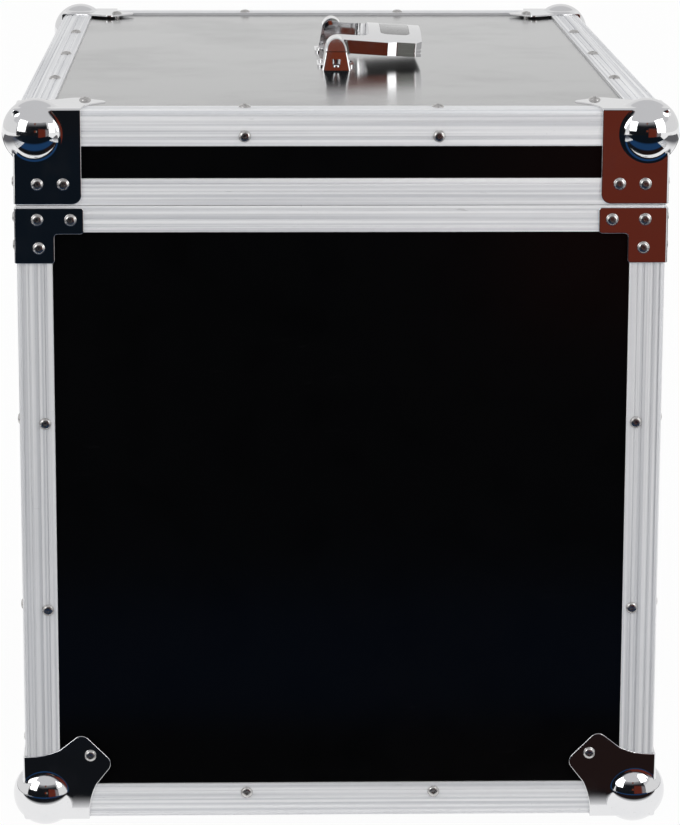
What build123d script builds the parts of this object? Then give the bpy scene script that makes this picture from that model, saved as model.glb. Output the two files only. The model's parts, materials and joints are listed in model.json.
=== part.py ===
from build123d import *
import math
import os

# A flight case: a deep body and a shallow hinged lid, panels held in aluminium edging, ball corners,
# a folding handle on the lid and two recessed turn latches. X runs across its width, Y along its
# depth towards the back and Z up. The origin is on the floor, under the middle of the case. The left
# side (-X) carries the hinges and the right side (+X) the latches.

# Case, measured over its edging
case_width = 400.0
case_depth = 620.0
body_height = 393.6
lid_height = 58.4
seam_gap = 0.4

# Panels and the edging that holds them
panel_thick = 7.0
slot_clearance = 0.2
leg_width = 22.0
leg_thick = 1.6
inner_leg_thick = 1.4
inner_leg_reach = 9.0
core_wall = 1.5
edge_radius = 3.0
groove_width = 0.8
groove_depth = 0.35
edging_grooves = (3.2, 7.2, 12.8, 17.0)

# Closing rails, whose tongue and groove meet at the seam
closing_height = 16.4
closing_head = 8.4
closing_grooves = (3.4, 8.2, 13.0)
tongue_inset = 3.8
tongue_thick = 2.4
tongue_height = 3.0
tongue_side_gap = 0.9
tongue_end_gap = 0.6

# Ball corners and corner braces, pressed from sheet
plate_thick = 1.2
plate_bend = 0.4
ball_radius = 20.5
ball_inset = 12.0
low_ball_rise = 13.0
lid_ball_drop = 14.5
ball_blend = 6.0
plate_rim_round = 0.5
clover_edge = 40.5
clover_waist = (12.0, 41.6)
clover_shoulder = (22.0, 45.0)
clover_lobe_start = (31.5, 52.5)
clover_lobe_top = (35.5, 54.2)
clover_lobe_end = (40.2, 52.4)
clover_rivet = 41.4
lid_plate_gap = 0.6
lid_plate_round = 6.0
brace_drop = 1.2
brace_arm_length = 41.5
brace_arm_end = 17.5
brace_leg_width = 23.5
brace_leg_end = 35.8
brace_round = 2.0

# Blind rivets
rivet_head_radius = 3.8
rivet_head_height = 1.8
rivet_shoulder = (0.78, 0.72)
rivet_shank_radius = 2.0
rivet_hole_radius = 1.1
rivet_hole_depth = 1.2
rivet_fit = 0.1
rivet_inset = 16.0
width_rivet_end_gap = 140.5
depth_rivet_end_gap = 167.0
post_rivets = (-60.0, 60.0)
lid_plate_rivets = ((13.3, 13.0), (29.2, 13.0))
brace_rivets = ((13.0, 8.6), (33.4, 8.7), (13.8, 26.2))

# Hinges
hinge_end_gap = 120.0
hinge_width = 70.0
hinge_leaf_height = 15.0
hinge_leaf_thick = 1.5
hinge_offset = 3.5
hinge_barrel_radius = 3.1
hinge_pin_radius = 1.5
hinge_pin_clearance = 0.05
hinge_knuckles = 5
hinge_gap = 0.3
hinge_relief = 3.0
hinge_pin_head_radius = 2.2
hinge_pin_head = 1.0
hinge_rivet_drop = 9.2
hinge_rivets = (-24.0, 0.0, 24.0)

# Recessed turn latches: a dish in the body, a dish in the lid, and the turning parts between them
latch_end_gap = 140.0
dish_half_width = 42.0
dish_wall = 1.2
dish_floor = 11.5
dish_depth_below = 46.0
dish_height_above = 18.0
dish_cut_clearance = 0.2
dish_seam_gap = 0.3
dish_round = 5.0
flange_width = 8.0
latch_drop = 24.0
latch_layer_gap = 0.4
claw_thick = 1.8
claw_hub_radius = 9.0
claw_arm_width = 8.0
claw_arm_overlap = 1.0
claw_inner_radius = 34.6
claw_outer_radius = 39.0
claw_arm_angle = 200.0
claw_finger_sweep = 35.0
turn_plate_radius = 18.0
turn_plate_thick = 3.0
turn_plate_bevel = 0.5
spindle_radius = 4.0
spindle_clearance = 0.05
spindle_head_radius = 6.0
spindle_head = 1.6
wing_radius = 17.0
wing_thick = 2.4
wing_axis = 2.4
wing_barrel_radius = 1.4
wing_barrel_half = 12.0
wing_pin_radius = 0.8
wing_pin_clearance = 0.05
wing_notch_radius = 4.5
lug_inner = 12.5
lug_outer = 15.0
lug_radius = 1.6
lug_root = 1.0
lug_clearance = 0.6
stud_distance = 30.5
stud_radius = 3.0
stud_head_radius = 5.6
stud_head = 2.0
dish_rivets_below = ((-46.0, -9.0), (46.0, -9.0), (-46.0, -36.0), (46.0, -36.0), (0.0, -50.0))
dish_rivets_above = ((-46.0, 9.0), (46.0, 9.0), (0.0, 22.0))

# Handle on the lid, folded to the right, its middle a little off the lid's
handle_right = 2.2
handle_forward = 7.0
bracket_inner = 55.0
bracket_outer = 80.0
bracket_base_half = 9.6
bracket_waist_half = 7.2
bracket_waist_height = 12.5
bracket_height = 21.6
bracket_toe_slope = 1.2
bracket_top_slope = 4.5
bracket_rim_round = 1.2
bracket_line_width = 0.9
bracket_line_depth = 0.5
bracket_ring_radius = 6.2
bracket_ring_height = 0.25
foot_thick = 1.5
foot_half_width = 12.5
foot_inner = 29.0
foot_round = 3.0
foot_screw_side = 8.5
foot_screw_along = 35.0
toe_screw_inset = 2.8
toe_pocket_radius = 3.5
toe_pocket_floor = 2.2
toe_pocket_top = 7.5
screw_head_radius = 3.0
screw_head_height = 1.6
screw_head_round = 0.96
screw_shank_radius = 1.6
screw_slot_width = 0.9
screw_slot_depth = 0.8
screw_hole_spare = 0.2
pivot_height = 12.8
pivot_radius = 2.5
pivot_clearance = 0.05
pivot_into_bracket = 9.0
pivot_into_grip = 11.0
grip_knuckle_radius = 5.6
grip_knuckle_end = 54.5
grip_arm_inner = 40.5
grip_arm_outer = 50.5
grip_shoulder = (35.5, 51.8)
grip_side = (42.0, 49.8)
grip_opening_end = 23.0
grip_opening_round = 7.0
grip_reach = 59.0
grip_corner = 4.0
grip_corner_round = 2.0
grip_band_half = 3.9
grip_crown_edge = 3.8
grip_crown_top = 12.0
grip_crown_half = 56.0
grip_groove_width = 0.8
grip_groove_depth = 0.4
grip_grooves = (-1.2, 1.2)
grip_tilt = 3.5
insert_start = 31.0
insert_end = 51.0
insert_half_length = 34.0
insert_sink = 1.4
insert_round = 5.0
insert_fit = 0.1

# Foam lining
foam_thick = 10.0
foam_edge_gap = 0.3
foam_pocket_clearance = 1.0

# Places that follow from the sizes above
panel_inner = leg_thick + panel_thick
inner_face = panel_inner + slot_clearance + inner_leg_thick
inner_leg_end = inner_face + inner_leg_reach
panel_edge = inner_face + slot_clearance
edge_bottom = ball_radius - low_ball_rise
seam_z = edge_bottom + body_height
lid_bottom = seam_z + seam_gap
top_z = lid_bottom + lid_height
case_height = top_z - edge_bottom
half_width = case_width / 2
half_depth = case_depth / 2
lid_panel_top = top_z - leg_thick
hinge_x = -half_width - hinge_offset
hinge_z = seam_z + seam_gap / 2
claw_top = dish_floor - latch_layer_gap - claw_thick
turn_plate_top = claw_top - latch_layer_gap - turn_plate_thick
wing_top = turn_plate_top - latch_layer_gap - wing_thick
wing_axis_depth = wing_top + wing_thick / 2
dish_back = dish_floor + dish_wall
hinge_places = (hinge_end_gap - half_depth, half_depth - hinge_end_gap)
latch_places = (latch_end_gap - half_depth, half_depth - latch_end_gap)
width_rivets = (width_rivet_end_gap - half_width, half_width - width_rivet_end_gap)
depth_rivets = (depth_rivet_end_gap - half_depth, 0.0, half_depth - depth_rivet_end_gap)

# How far cutters run past what they cut, and how far in the mitre prisms reach
past = 5.0
mitre_reach = 30.0

os.makedirs("parts", exist_ok=True)
nodes = {}


def box_between(low, high):
    """A box between two opposite corners."""
    sizes = [b - a for a, b in zip(low, high)]
    middle = [(a + b) / 2 for a, b in zip(low, high)]
    return Pos(*middle) * Box(*sizes)


def rect_between(low, high):
    """A rectangle between two opposite corners."""
    middle = [(a + b) / 2 for a, b in zip(low, high)]
    return Pos(*middle) * Rectangle(high[0] - low[0], high[1] - low[1])


def prism(plane, points, reach):
    """A polygon drawn on a plane, run out to both sides of it."""
    return extrude(plane * make_face(Polyline(*points, close=True)), amount=reach, both=True)


def flip_x(shape):
    return mirror(shape, about=Plane.YZ)


def flip_y(shape):
    return mirror(shape, about=Plane.XZ)


def flip_z(shape):
    return mirror(shape, about=Plane.XY)


def at_four_corners(shape):
    """A shape made for the front left corner, and its mirror images at the others."""
    front_right = flip_x(shape)
    return {
        "front_left": shape,
        "front_right": front_right,
        "back_left": flip_y(shape),
        "back_right": flip_y(front_right),
    }


def solids_of(shapes):
    """Every separate solid in a shape or a list of shapes."""
    if isinstance(shapes, (list, tuple)):
        return [solid for shape in shapes for solid in solids_of(shape)]
    return list(shapes.solids())


def boxed(cutters):
    """Cutters with their boxes, so that each piece is only cut by what comes near it."""
    return [(cutter, cutter.bounding_box()) for cutter in cutters]


def boxes_meet(a, b):
    return (
        a.min.X < b.max.X and b.min.X < a.max.X
        and a.min.Y < b.max.Y and b.min.Y < a.max.Y
        and a.min.Z < b.max.Z and b.min.Z < a.max.Z
    )


def cut(shape, cutters):
    """The shape less each cutter that comes near it."""
    box = shape.bounding_box()
    near = [cutter for cutter, cutter_box in cutters if boxes_meet(box, cutter_box)]
    return shape - near if near else shape


# Edging

def edging_section():
    """An L of two legs round a square tube, with a slot behind each leg for a panel."""
    section = rect_between((0, 0), (leg_width, leg_thick))
    section += rect_between((0, 0), (leg_thick, leg_width))
    section += rect_between((0, 0), (inner_face, inner_face))
    inner_start = inner_face - inner_leg_thick
    section += rect_between((inner_start, inner_start), (inner_leg_end, inner_face))
    section += rect_between((inner_start, inner_start), (inner_face, inner_leg_end))
    tube_start = leg_thick
    tube_end = inner_face - core_wall
    section -= rect_between((tube_start, tube_start), (tube_end, tube_end))
    for place in edging_grooves:
        start = place - groove_width / 2
        end = place + groove_width / 2
        section -= rect_between((start, -past), (end, groove_depth))
        section -= rect_between((-past, start), (groove_depth, end))
    return section


def rounded_case():
    """The case's outer form with its rounded edges, standing on Z = 0."""
    low = (-half_width, -half_depth, 0)
    high = (half_width, half_depth, case_height)
    return fillet(box_between(low, high).edges(), edge_radius)


def mitre_points(half_length):
    """A long trapezoid whose ends slope inwards at 45 degrees."""
    return (
        (-half_length, 0),
        (half_length, 0),
        (half_length - mitre_reach, mitre_reach),
        (mitre_reach - half_length, mitre_reach),
    )


def edging_set(post_height):
    """Four rails and four posts for a box that stands on Z = 0, mitred where they meet."""
    section = edging_section()
    form = rounded_case()
    front_face = Plane((0, -half_depth, 0), x_dir=(1, 0, 0), z_dir=(0, 0, 1))
    left_face = Plane((-half_width, 0, 0), x_dir=(0, -1, 0), z_dir=(0, 0, 1))
    corner = (-half_width, -half_depth, 0)

    along_x = Plane(corner, x_dir=(0, 1, 0), z_dir=(1, 0, 0))
    front = extrude(along_x * section, amount=case_width) & form
    front &= prism(front_face, mitre_points(half_width), case_height)
    front &= prism(Plane.XZ, mitre_points(half_width), case_depth)

    along_y = Plane(corner, x_dir=(0, 0, 1), z_dir=(0, 1, 0))
    left = extrude(along_y * section, amount=case_depth) & form
    left &= prism(left_face, mitre_points(half_depth), case_height)
    left &= prism(Plane.YZ, mitre_points(half_depth), case_width)

    post = extrude(Plane(corner) * section, amount=post_height) & form
    slope = ((0, 0), (mitre_reach, mitre_reach), (mitre_reach, case_height), (0, case_height))
    post &= prism(Plane(corner, x_dir=(1, 0, 0), z_dir=(0, -1, 0)), slope, mitre_reach)
    post &= prism(Plane(corner, x_dir=(0, 1, 0), z_dir=(1, 0, 0)), slope, mitre_reach)
    return {
        "front": front,
        "back": flip_y(front),
        "left": left,
        "right": flip_x(left),
        "posts": at_four_corners(post),
    }


def closing_section(is_lid):
    """Half of the seam: the body's rail has a groove and the lid's a tongue."""
    section = rect_between((0, 0), (leg_thick, closing_height))
    section += rect_between((0, 0), (inner_face, closing_head))
    section += rect_between((inner_face - inner_leg_thick, 0), (inner_face, closing_height))
    for place in closing_grooves:
        low = (-past, place - groove_width / 2)
        section -= rect_between(low, (groove_depth, place + groove_width / 2))
    tongue_end = tongue_inset + tongue_thick
    if is_lid:
        section += rect_between((tongue_inset, -tongue_height), (tongue_end, closing_head))
    else:
        groove = (tongue_end + tongue_side_gap, tongue_height + tongue_end_gap)
        section -= rect_between((tongue_inset - tongue_side_gap, -past), groove)
    return section


def closing_frame(is_lid):
    """Four mitred closing rails whose seam face is on Z = 0 and whose slots open upwards."""
    section = closing_section(is_lid)
    front_face = Plane((0, -half_depth, 0), x_dir=(1, 0, 0), z_dir=(0, 0, 1))
    left_face = Plane((-half_width, 0, 0), x_dir=(0, -1, 0), z_dir=(0, 0, 1))
    corner = (-half_width, -half_depth, 0)
    front = extrude(Plane(corner, x_dir=(0, 1, 0), z_dir=(1, 0, 0)) * section, amount=case_width)
    front &= prism(front_face, mitre_points(half_width), mitre_reach)
    back_corner = (-half_width, half_depth, 0)
    left_plane = Plane(back_corner, x_dir=(1, 0, 0), z_dir=(0, -1, 0))
    left = extrude(left_plane * section, amount=case_depth)
    left &= prism(left_face, mitre_points(half_depth), mitre_reach)
    rounding = Pos(0, 0, -case_height / 2) * rounded_case()
    rails = [front & rounding, left & rounding]
    return rails + [flip_y(rails[0]), flip_x(rails[1])]


# Rivets

def rivet(grip_length):
    """A blind rivet, its head on Z = 0 and its shank below."""
    hole_floor = rivet_head_height - rivet_hole_depth
    out, up = rivet_shoulder
    shoulder = (rivet_head_radius * out, rivet_head_height * up)
    profile = [
        ThreePointArc((rivet_hole_radius, rivet_head_height), shoulder, (rivet_head_radius, 0)),
        Polyline(
            (rivet_head_radius, 0),
            (rivet_shank_radius, 0),
            (rivet_shank_radius, -grip_length),
            (0, -grip_length),
            (0, hole_floor),
            (rivet_hole_radius, hole_floor),
            (rivet_hole_radius, rivet_head_height),
        ),
    ]
    return revolve(Plane.XZ * make_face(profile), axis=Axis.Z)


class RivetSite:
    """A rivet through a face: where it is on the face, what its head sits on and how deep it goes."""

    def __init__(self, point, outward, seat=0.0, depth=inner_face):
        self.plane = Plane(origin=point, z_dir=outward)
        self.seat = seat
        self.depth = depth

    def make(self):
        return self.plane * (Pos(0, 0, self.seat) * rivet(self.seat + self.depth))

    def hole(self):
        length = self.seat + self.depth + 2 * past
        radius = rivet_shank_radius + rivet_fit
        middle = (self.seat - self.depth) / 2
        return self.plane * (Pos(0, 0, middle) * Cylinder(radius, length))


def body_edge_sites():
    """Rivets in the legs of the bottom rails and the posts."""
    sites = []
    low = edge_bottom + rivet_inset
    middle = edge_bottom + body_height / 2
    for side in (-1, 1):
        for x in width_rivets:
            sites.append(RivetSite((x, side * half_depth, low), (0, side, 0)))
            sites.append(RivetSite((x, side * (half_depth - rivet_inset), edge_bottom), (0, 0, -1)))
        for y in depth_rivets:
            sites.append(RivetSite((side * half_width, y, low), (side, 0, 0)))
            sites.append(RivetSite((side * (half_width - rivet_inset), y, edge_bottom), (0, 0, -1)))
        for rise in post_rivets:
            for end in (-1, 1):
                x = end * (half_width - rivet_inset)
                y = end * (half_depth - rivet_inset)
                sites.append(RivetSite((x, side * half_depth, middle + rise), (0, side, 0)))
                sites.append(RivetSite((side * half_width, y, middle + rise), (side, 0, 0)))
    return sites


def lid_edge_sites():
    """Rivets in the legs of the lid's top rails."""
    sites = []
    high = top_z - rivet_inset
    for side in (-1, 1):
        for x in width_rivets:
            sites.append(RivetSite((x, side * half_depth, high), (0, side, 0)))
            sites.append(RivetSite((x, side * (half_depth - rivet_inset), top_z), (0, 0, 1)))
        for y in depth_rivets:
            sites.append(RivetSite((side * half_width, y, high), (side, 0, 0)))
            sites.append(RivetSite((side * (half_width - rivet_inset), y, top_z), (0, 0, 1)))
    return sites


def corner_pair(inset, z, depth):
    """Rivets through the two plates of each corner, the same way in from its edge."""
    sites = []
    for side in (-1, 1):
        for end in (-1, 1):
            x = end * (half_width - inset)
            y = end * (half_depth - inset)
            sites.append(RivetSite((x, side * half_depth, z), (0, side, 0), plate_thick, depth))
            sites.append(RivetSite((side * half_width, y, z), (side, 0, 0), plate_thick, depth))
    return sites


def flat_corner_sites(z, outward):
    """Rivets through the plates that lie on the top or under the base."""
    sites = []
    for side in (-1, 1):
        for end in (-1, 1):
            point = (side * (half_width - clover_rivet), end * (half_depth - clover_rivet), z)
            sites.append(RivetSite(point, (0, 0, outward), plate_thick, panel_inner))
    return sites


def body_corner_sites():
    """Rivets through the lower ball corners and the braces."""
    sites = corner_pair(clover_rivet, edge_bottom + clover_rivet, panel_inner)
    sites += flat_corner_sites(edge_bottom, -1)
    for inset, drop in brace_rivets:
        sites += corner_pair(inset, seam_z - drop, inner_face)
    return sites


def lid_corner_sites():
    """Rivets through the lid's ball corners."""
    sites = flat_corner_sites(top_z, 1)
    for inset, rise in lid_plate_rivets:
        sites += corner_pair(inset, lid_bottom + rise, inner_face)
    return sites


def hinge_sites(z):
    """Rivets through the hinge leaves at one height."""
    places = [middle + step for middle in hinge_places for step in hinge_rivets]
    return [RivetSite((-half_width, y, z), (-1, 0, 0), hinge_leaf_thick) for y in places]


def dish_sites(spots):
    """Rivets through the flanges of the latch dishes, at their places beside and above the seam."""
    sites = []
    for middle in latch_places:
        for along, rise in spots:
            point = (half_width, middle + along, seam_z + seam_gap / 2 + rise)
            depth = inner_face if abs(rise) < closing_height else panel_inner
            sites.append(RivetSite(point, (1, 0, 0), plate_thick, depth))
    return sites


# Ball corners and braces

def clover_face():
    """The outline of a corner plate: three lobes round a case corner, here one face of it."""
    def across(point):
        return (point[1], point[0])

    start = (-past, clover_edge)
    edge = (plate_bend, clover_edge)
    edges = [
        Line(start, edge),
        ThreePointArc(edge, clover_waist, clover_shoulder),
        Line(clover_shoulder, clover_lobe_start),
        ThreePointArc(clover_lobe_start, clover_lobe_top, clover_lobe_end),
        Line(clover_lobe_end, across(clover_lobe_end)),
        ThreePointArc(across(clover_lobe_end), across(clover_lobe_top), across(clover_lobe_start)),
        Line(across(clover_lobe_start), across(clover_shoulder)),
        ThreePointArc(across(clover_shoulder), across(clover_waist), across(edge)),
        Line(across(edge), across(start)),
        Line(across(start), (-past, -past)),
        Line((-past, -past), start),
    ]
    return make_face(edges)


def corner_block(offset, radius, size):
    """A block whose near corner is outside the case's corner by the offset, with rounded edges."""
    block = box_between((-offset, -offset, -offset), (size, size, size))
    at_corner = block.edges().filter_by(
        lambda edge: sum(abs(c + offset) < 0.01 for c in tuple(edge.center())) == 2
    )
    return fillet(at_corner, radius)


def outer_rim(plates, seen):
    """The outline's edges on the outside of bent plates, without the lines where their bends begin."""
    def on_outside(point):
        return abs(min(seen(point)) + plate_thick) < 0.01

    def beside_bend(point):
        return abs(sorted(seen(point))[1] - plate_bend) < 0.01

    return [
        edge for edge in plates.edges()
        if all(on_outside(edge @ place) for place in (0.1, 0.5, 0.9))
        and not (beside_bend(edge @ 0.1) and beside_bend(edge @ 0.9))
    ]


def ball_corner(bottom_face, side_face, ball_rise):
    """Three plates round a corner with a ball in them. The corner is the origin, the case inwards."""
    reach = lid_height + 2 * past
    depth = plate_thick + plate_bend
    inside = corner_block(0, plate_bend, 2 * reach)
    plates = corner_block(plate_thick, depth, reach) - inside
    prisms = extrude(bottom_face, amount=depth, both=True)
    prisms += extrude(Plane.XZ * side_face, amount=depth, both=True)
    prisms += extrude(Plane.YZ * side_face, amount=depth, both=True)
    plates &= prisms
    plates = fillet(outer_rim(plates, tuple), plate_rim_round)
    middle = Pos(ball_inset, ball_inset, ball_rise)
    shell = plates + (middle * Sphere(ball_radius) - inside)
    centre = Vector(ball_inset, ball_inset, ball_rise)
    seams = shell.edges().filter_by(
        lambda edge: abs((edge @ 0.5 - centre).length - ball_radius) < 0.01
        and abs((edge @ 0.1 - centre).length - ball_radius) < 0.01
        and min(tuple(edge @ 0.5)) < -0.01
    )
    outer = fillet(seams, ball_blend)
    return outer - middle * Sphere(ball_radius - plate_thick)


def lid_plate_face():
    """The lid corner's plate on a side: as wide as the lobed plate's edge, with one rounded corner."""
    height = lid_height - lid_plate_gap
    face = rect_between((-past, -past), (clover_edge, height))
    far = face.vertices().sort_by(lambda vertex: vertex.X + vertex.Y)[-1]
    return fillet(far, lid_plate_round)


def corner_brace():
    """A bent plate with an L on both faces. The seam's corner is the origin, the case below it."""
    reach = brace_leg_end + past
    size = brace_arm_length + past
    outside = box_between((-plate_thick, -plate_thick, -reach), (size, size, reach))
    inside = box_between((0, 0, -2 * reach), (2 * size, 2 * size, 2 * reach))

    def rounded(block, radius):
        upright = block.edges().filter_by(Axis.Z).sort_by(lambda edge: edge.center().X + edge.center().Y)
        return fillet(upright[0], radius)

    depth = plate_thick + plate_bend
    plates = rounded(outside, depth) - rounded(inside, plate_bend)
    points = (
        (-past, -brace_drop),
        (brace_arm_length, -brace_drop),
        (brace_arm_length, -brace_arm_end),
        (brace_leg_width, -brace_arm_end),
        (brace_leg_width, -brace_leg_end),
        (-past, -brace_leg_end),
    )
    face = make_face(Polyline(*points, close=True))
    rounded_spots = [vertex for vertex in face.vertices() if vertex.X > 0]
    face = fillet(rounded_spots, brace_round)
    prisms = extrude(Plane.XZ * face, amount=depth, both=True)
    prisms += extrude(Plane.YZ * face, amount=depth, both=True)
    plates &= prisms
    return fillet(outer_rim(plates, lambda point: (point.X, point.Y)), plate_rim_round)


# Hinges

def hinge_segments(middle):
    """The knuckles' spans along the pin, front to back."""
    length = (hinge_width - (hinge_knuckles - 1) * hinge_gap) / hinge_knuckles
    start = middle - hinge_width / 2
    return [
        (start + index * (length + hinge_gap), start + index * (length + hinge_gap) + length)
        for index in range(hinge_knuckles)
    ]


def barrel(radius, span, x, z):
    """A cylinder along Y between two places."""
    length = span[1] - span[0]
    middle = (span[0] + span[1]) / 2
    return Pos(x, middle, z) * Rot(90, 0, 0) * Cylinder(radius, length)


def hinge_leaf(middle, is_lid):
    """One leaf with its knuckles: the body has the odd ones, with the pin fast in them."""
    side = 1 if is_lid else -1
    outer_x = -half_width - hinge_leaf_thick
    low = (outer_x, middle - hinge_width / 2, min(hinge_z, hinge_z + side * hinge_leaf_height))
    high = (-half_width, middle + hinge_width / 2, max(hinge_z, hinge_z + side * hinge_leaf_height))
    leaf = box_between(low, high)
    spans = hinge_segments(middle)
    own = spans[1::2] if is_lid else spans[0::2]
    other = spans[0::2] if is_lid else spans[1::2]
    for span in other:
        near_z = hinge_z - side * past
        far_z = hinge_z + side * hinge_relief
        relief_low = (outer_x - past, span[0] - hinge_gap, min(near_z, far_z))
        relief_high = (-half_width + past, span[1] + hinge_gap, max(near_z, far_z))
        leaf -= box_between(relief_low, relief_high)
    clearance = hinge_pin_clearance if is_lid else 0
    for span in own:
        leaf += barrel(hinge_barrel_radius, span, hinge_x, hinge_z)
    for span in own:
        leaf -= barrel(hinge_pin_radius + clearance, (span[0] - past, span[1] + past), hinge_x, hinge_z)
    return leaf


def hinge_pin(middle):
    """A pin with a low head at each end."""
    half = hinge_width / 2
    pin = barrel(hinge_pin_radius, (middle - half, middle + half), hinge_x, hinge_z)
    front = (middle - half - hinge_pin_head, middle - half)
    back = (middle + half, middle + half + hinge_pin_head)
    pin += barrel(hinge_pin_head_radius, front, hinge_x, hinge_z)
    pin += barrel(hinge_pin_head_radius, back, hinge_x, hinge_z)
    return pin


# Turn latches, drawn on the right side: across along Y, up along Z, and depth into the case

def on_right_side(shape, middle):
    """A latch piece drawn on XY with the outside up, moved to its place at the seam."""
    origin = (half_width, middle, seam_z + seam_gap / 2)
    return Plane(origin, x_dir=(0, 1, 0), z_dir=(1, 0, 0)) * shape


def dish_outline(half, far, near_seam):
    """A rectangle from the seam down to its rounded lower corners."""
    face = rect_between((-half, -far), (half, -near_seam))
    low = [vertex for vertex in face.vertices() if vertex.Y < -far + 0.01]
    return fillet(low, dish_round)


def dish(depth_from_seam):
    """A pan, open at the seam, with a flange that bears on the closing rail and on the panel."""
    far = depth_from_seam
    flange = dish_outline(dish_half_width + flange_width, far + flange_width, dish_seam_gap)
    pan = extrude(flange, amount=plate_thick)
    on_panel = flange & rect_between(
        (-case_width, -case_width), (case_width, -closing_height - slot_clearance)
    )
    pan += extrude(on_panel, amount=-leg_thick)
    pan += extrude(dish_outline(dish_half_width, far, dish_seam_gap), amount=-dish_back)
    inner = dish_outline(dish_half_width - dish_wall, far - dish_wall, -past)
    return pan - Pos(0, 0, past) * extrude(inner, amount=-dish_floor - past)


def latch_dish():
    """The body's dish, bored for the spindle."""
    bore = Pos(0, -latch_drop, -dish_back) * Cylinder(spindle_radius + spindle_clearance, 2 * past)
    return dish(dish_depth_below) - bore


def keeper_dish():
    """The lid's dish, the same way up as it is fitted."""
    return mirror(dish(dish_height_above), about=Plane.XZ)


def keeper_stud():
    """A stud with a head that the claw's finger passes behind."""
    head_start = claw_top - latch_layer_gap
    shaft_length = dish_floor - head_start
    stud = Pos(0, 0, -dish_floor + shaft_length / 2) * Cylinder(stud_radius, shaft_length)
    stud += Pos(0, 0, -head_start + stud_head / 2) * Cylinder(stud_head_radius, stud_head)
    return Pos(0, stud_distance - latch_drop, 0) * stud


def ring_sector(inner, outer, start, end):
    """A flat piece of a ring between two angles."""
    def point(radius, angle):
        return (radius * math.cos(math.radians(angle)), radius * math.sin(math.radians(angle)))

    middle = (start + end) / 2
    edges = [
        ThreePointArc(point(outer, start), point(outer, middle), point(outer, end)),
        Line(point(outer, end), point(inner, end)),
        ThreePointArc(point(inner, end), point(inner, middle), point(inner, start)),
        Line(point(inner, start), point(outer, start)),
    ]
    return make_face(edges)


def claw():
    """A flat hook: a hub, an arm and a finger that reaches round the stud."""
    arm_length = claw_outer_radius - claw_arm_overlap
    arm = rect_between((0, -claw_arm_width / 2), (arm_length, claw_arm_width / 2))
    face = Circle(claw_hub_radius) + Rot(0, 0, claw_arm_angle) * arm
    finger_end = claw_arm_angle - claw_finger_sweep
    face += ring_sector(claw_inner_radius, claw_outer_radius, finger_end, claw_arm_angle)
    face -= Circle(spindle_radius)
    return Pos(0, -latch_drop, -claw_top - claw_thick) * extrude(face, amount=claw_thick)


def turn_plate():
    """A round plate with lugs for two wings, and the spindle that turns the claw."""
    plate = Pos(0, 0, -turn_plate_top - turn_plate_thick / 2) * Cylinder(
        turn_plate_radius, turn_plate_thick
    )
    plate = chamfer(plate.faces().sort_by(Axis.Z)[-1].edges(), turn_plate_bevel)
    shaft_end = dish_back + hinge_gap + spindle_head
    shaft_length = shaft_end - turn_plate_top - turn_plate_thick
    plate += Pos(0, 0, -shaft_end + shaft_length / 2) * Cylinder(spindle_radius, shaft_length)
    plate += Pos(0, 0, -shaft_end + spindle_head / 2) * Cylinder(spindle_head_radius, spindle_head)
    for side in (-1, 1):
        for end in (-1, 1):
            near_x = min(end * lug_inner, end * lug_outer)
            far_x = max(end * lug_inner, end * lug_outer)
            middle_x = (near_x + far_x) / 2
            axis_y = side * wing_axis
            low = (near_x, axis_y - lug_radius, -turn_plate_top - lug_root)
            plate += box_between(low, (far_x, axis_y + lug_radius, -wing_axis_depth))
            eye = Pos(middle_x, axis_y, -wing_axis_depth) * Rot(0, 90, 0)
            plate += eye * Cylinder(lug_radius, lug_outer - lug_inner)
            plate -= eye * Cylinder(wing_pin_radius + wing_pin_clearance, 2 * (lug_outer - lug_inner))
    return Pos(0, -latch_drop, 0) * plate


def wing():
    """The upper wing, lying flat: half a disc on a barrel whose pins turn in the lugs."""
    disc = Circle(wing_radius) & rect_between((-wing_radius, wing_axis), (wing_radius, wing_radius))
    disc -= Pos(0, wing_radius) * Circle(wing_notch_radius)
    notch_top = wing_axis + lug_radius + lug_clearance
    for end in (-1, 1):
        near_x = min(end * (lug_inner - hinge_gap), end * 2 * wing_radius)
        far_x = max(end * (lug_inner - hinge_gap), end * 2 * wing_radius)
        disc -= rect_between((near_x, -wing_radius), (far_x, notch_top))
    flat = Pos(0, 0, -wing_top - wing_thick) * extrude(disc, amount=wing_thick)
    axis = Pos(0, wing_axis, -wing_axis_depth) * Rot(0, 90, 0)
    flat += axis * Cylinder(wing_barrel_radius, 2 * wing_barrel_half)
    flat += axis * Cylinder(wing_pin_radius, 2 * lug_outer)
    return Pos(0, -latch_drop, 0) * flat


# Handle, drawn about its own middle with Z = 0 on the lid's panel

def bracket_profile():
    """A bell: sides that lean in, then an arch."""
    waist = bracket_waist_height
    edges = [
        Line((-bracket_base_half, 0), (bracket_base_half, 0)),
        Line((bracket_base_half, 0), (bracket_waist_half, waist)),
        EllipticalCenterArc((0, waist), bracket_waist_half, bracket_height - waist, arc_size=180),
        Line((-bracket_waist_half, waist), (-bracket_base_half, 0)),
    ]
    return make_face(edges)


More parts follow.
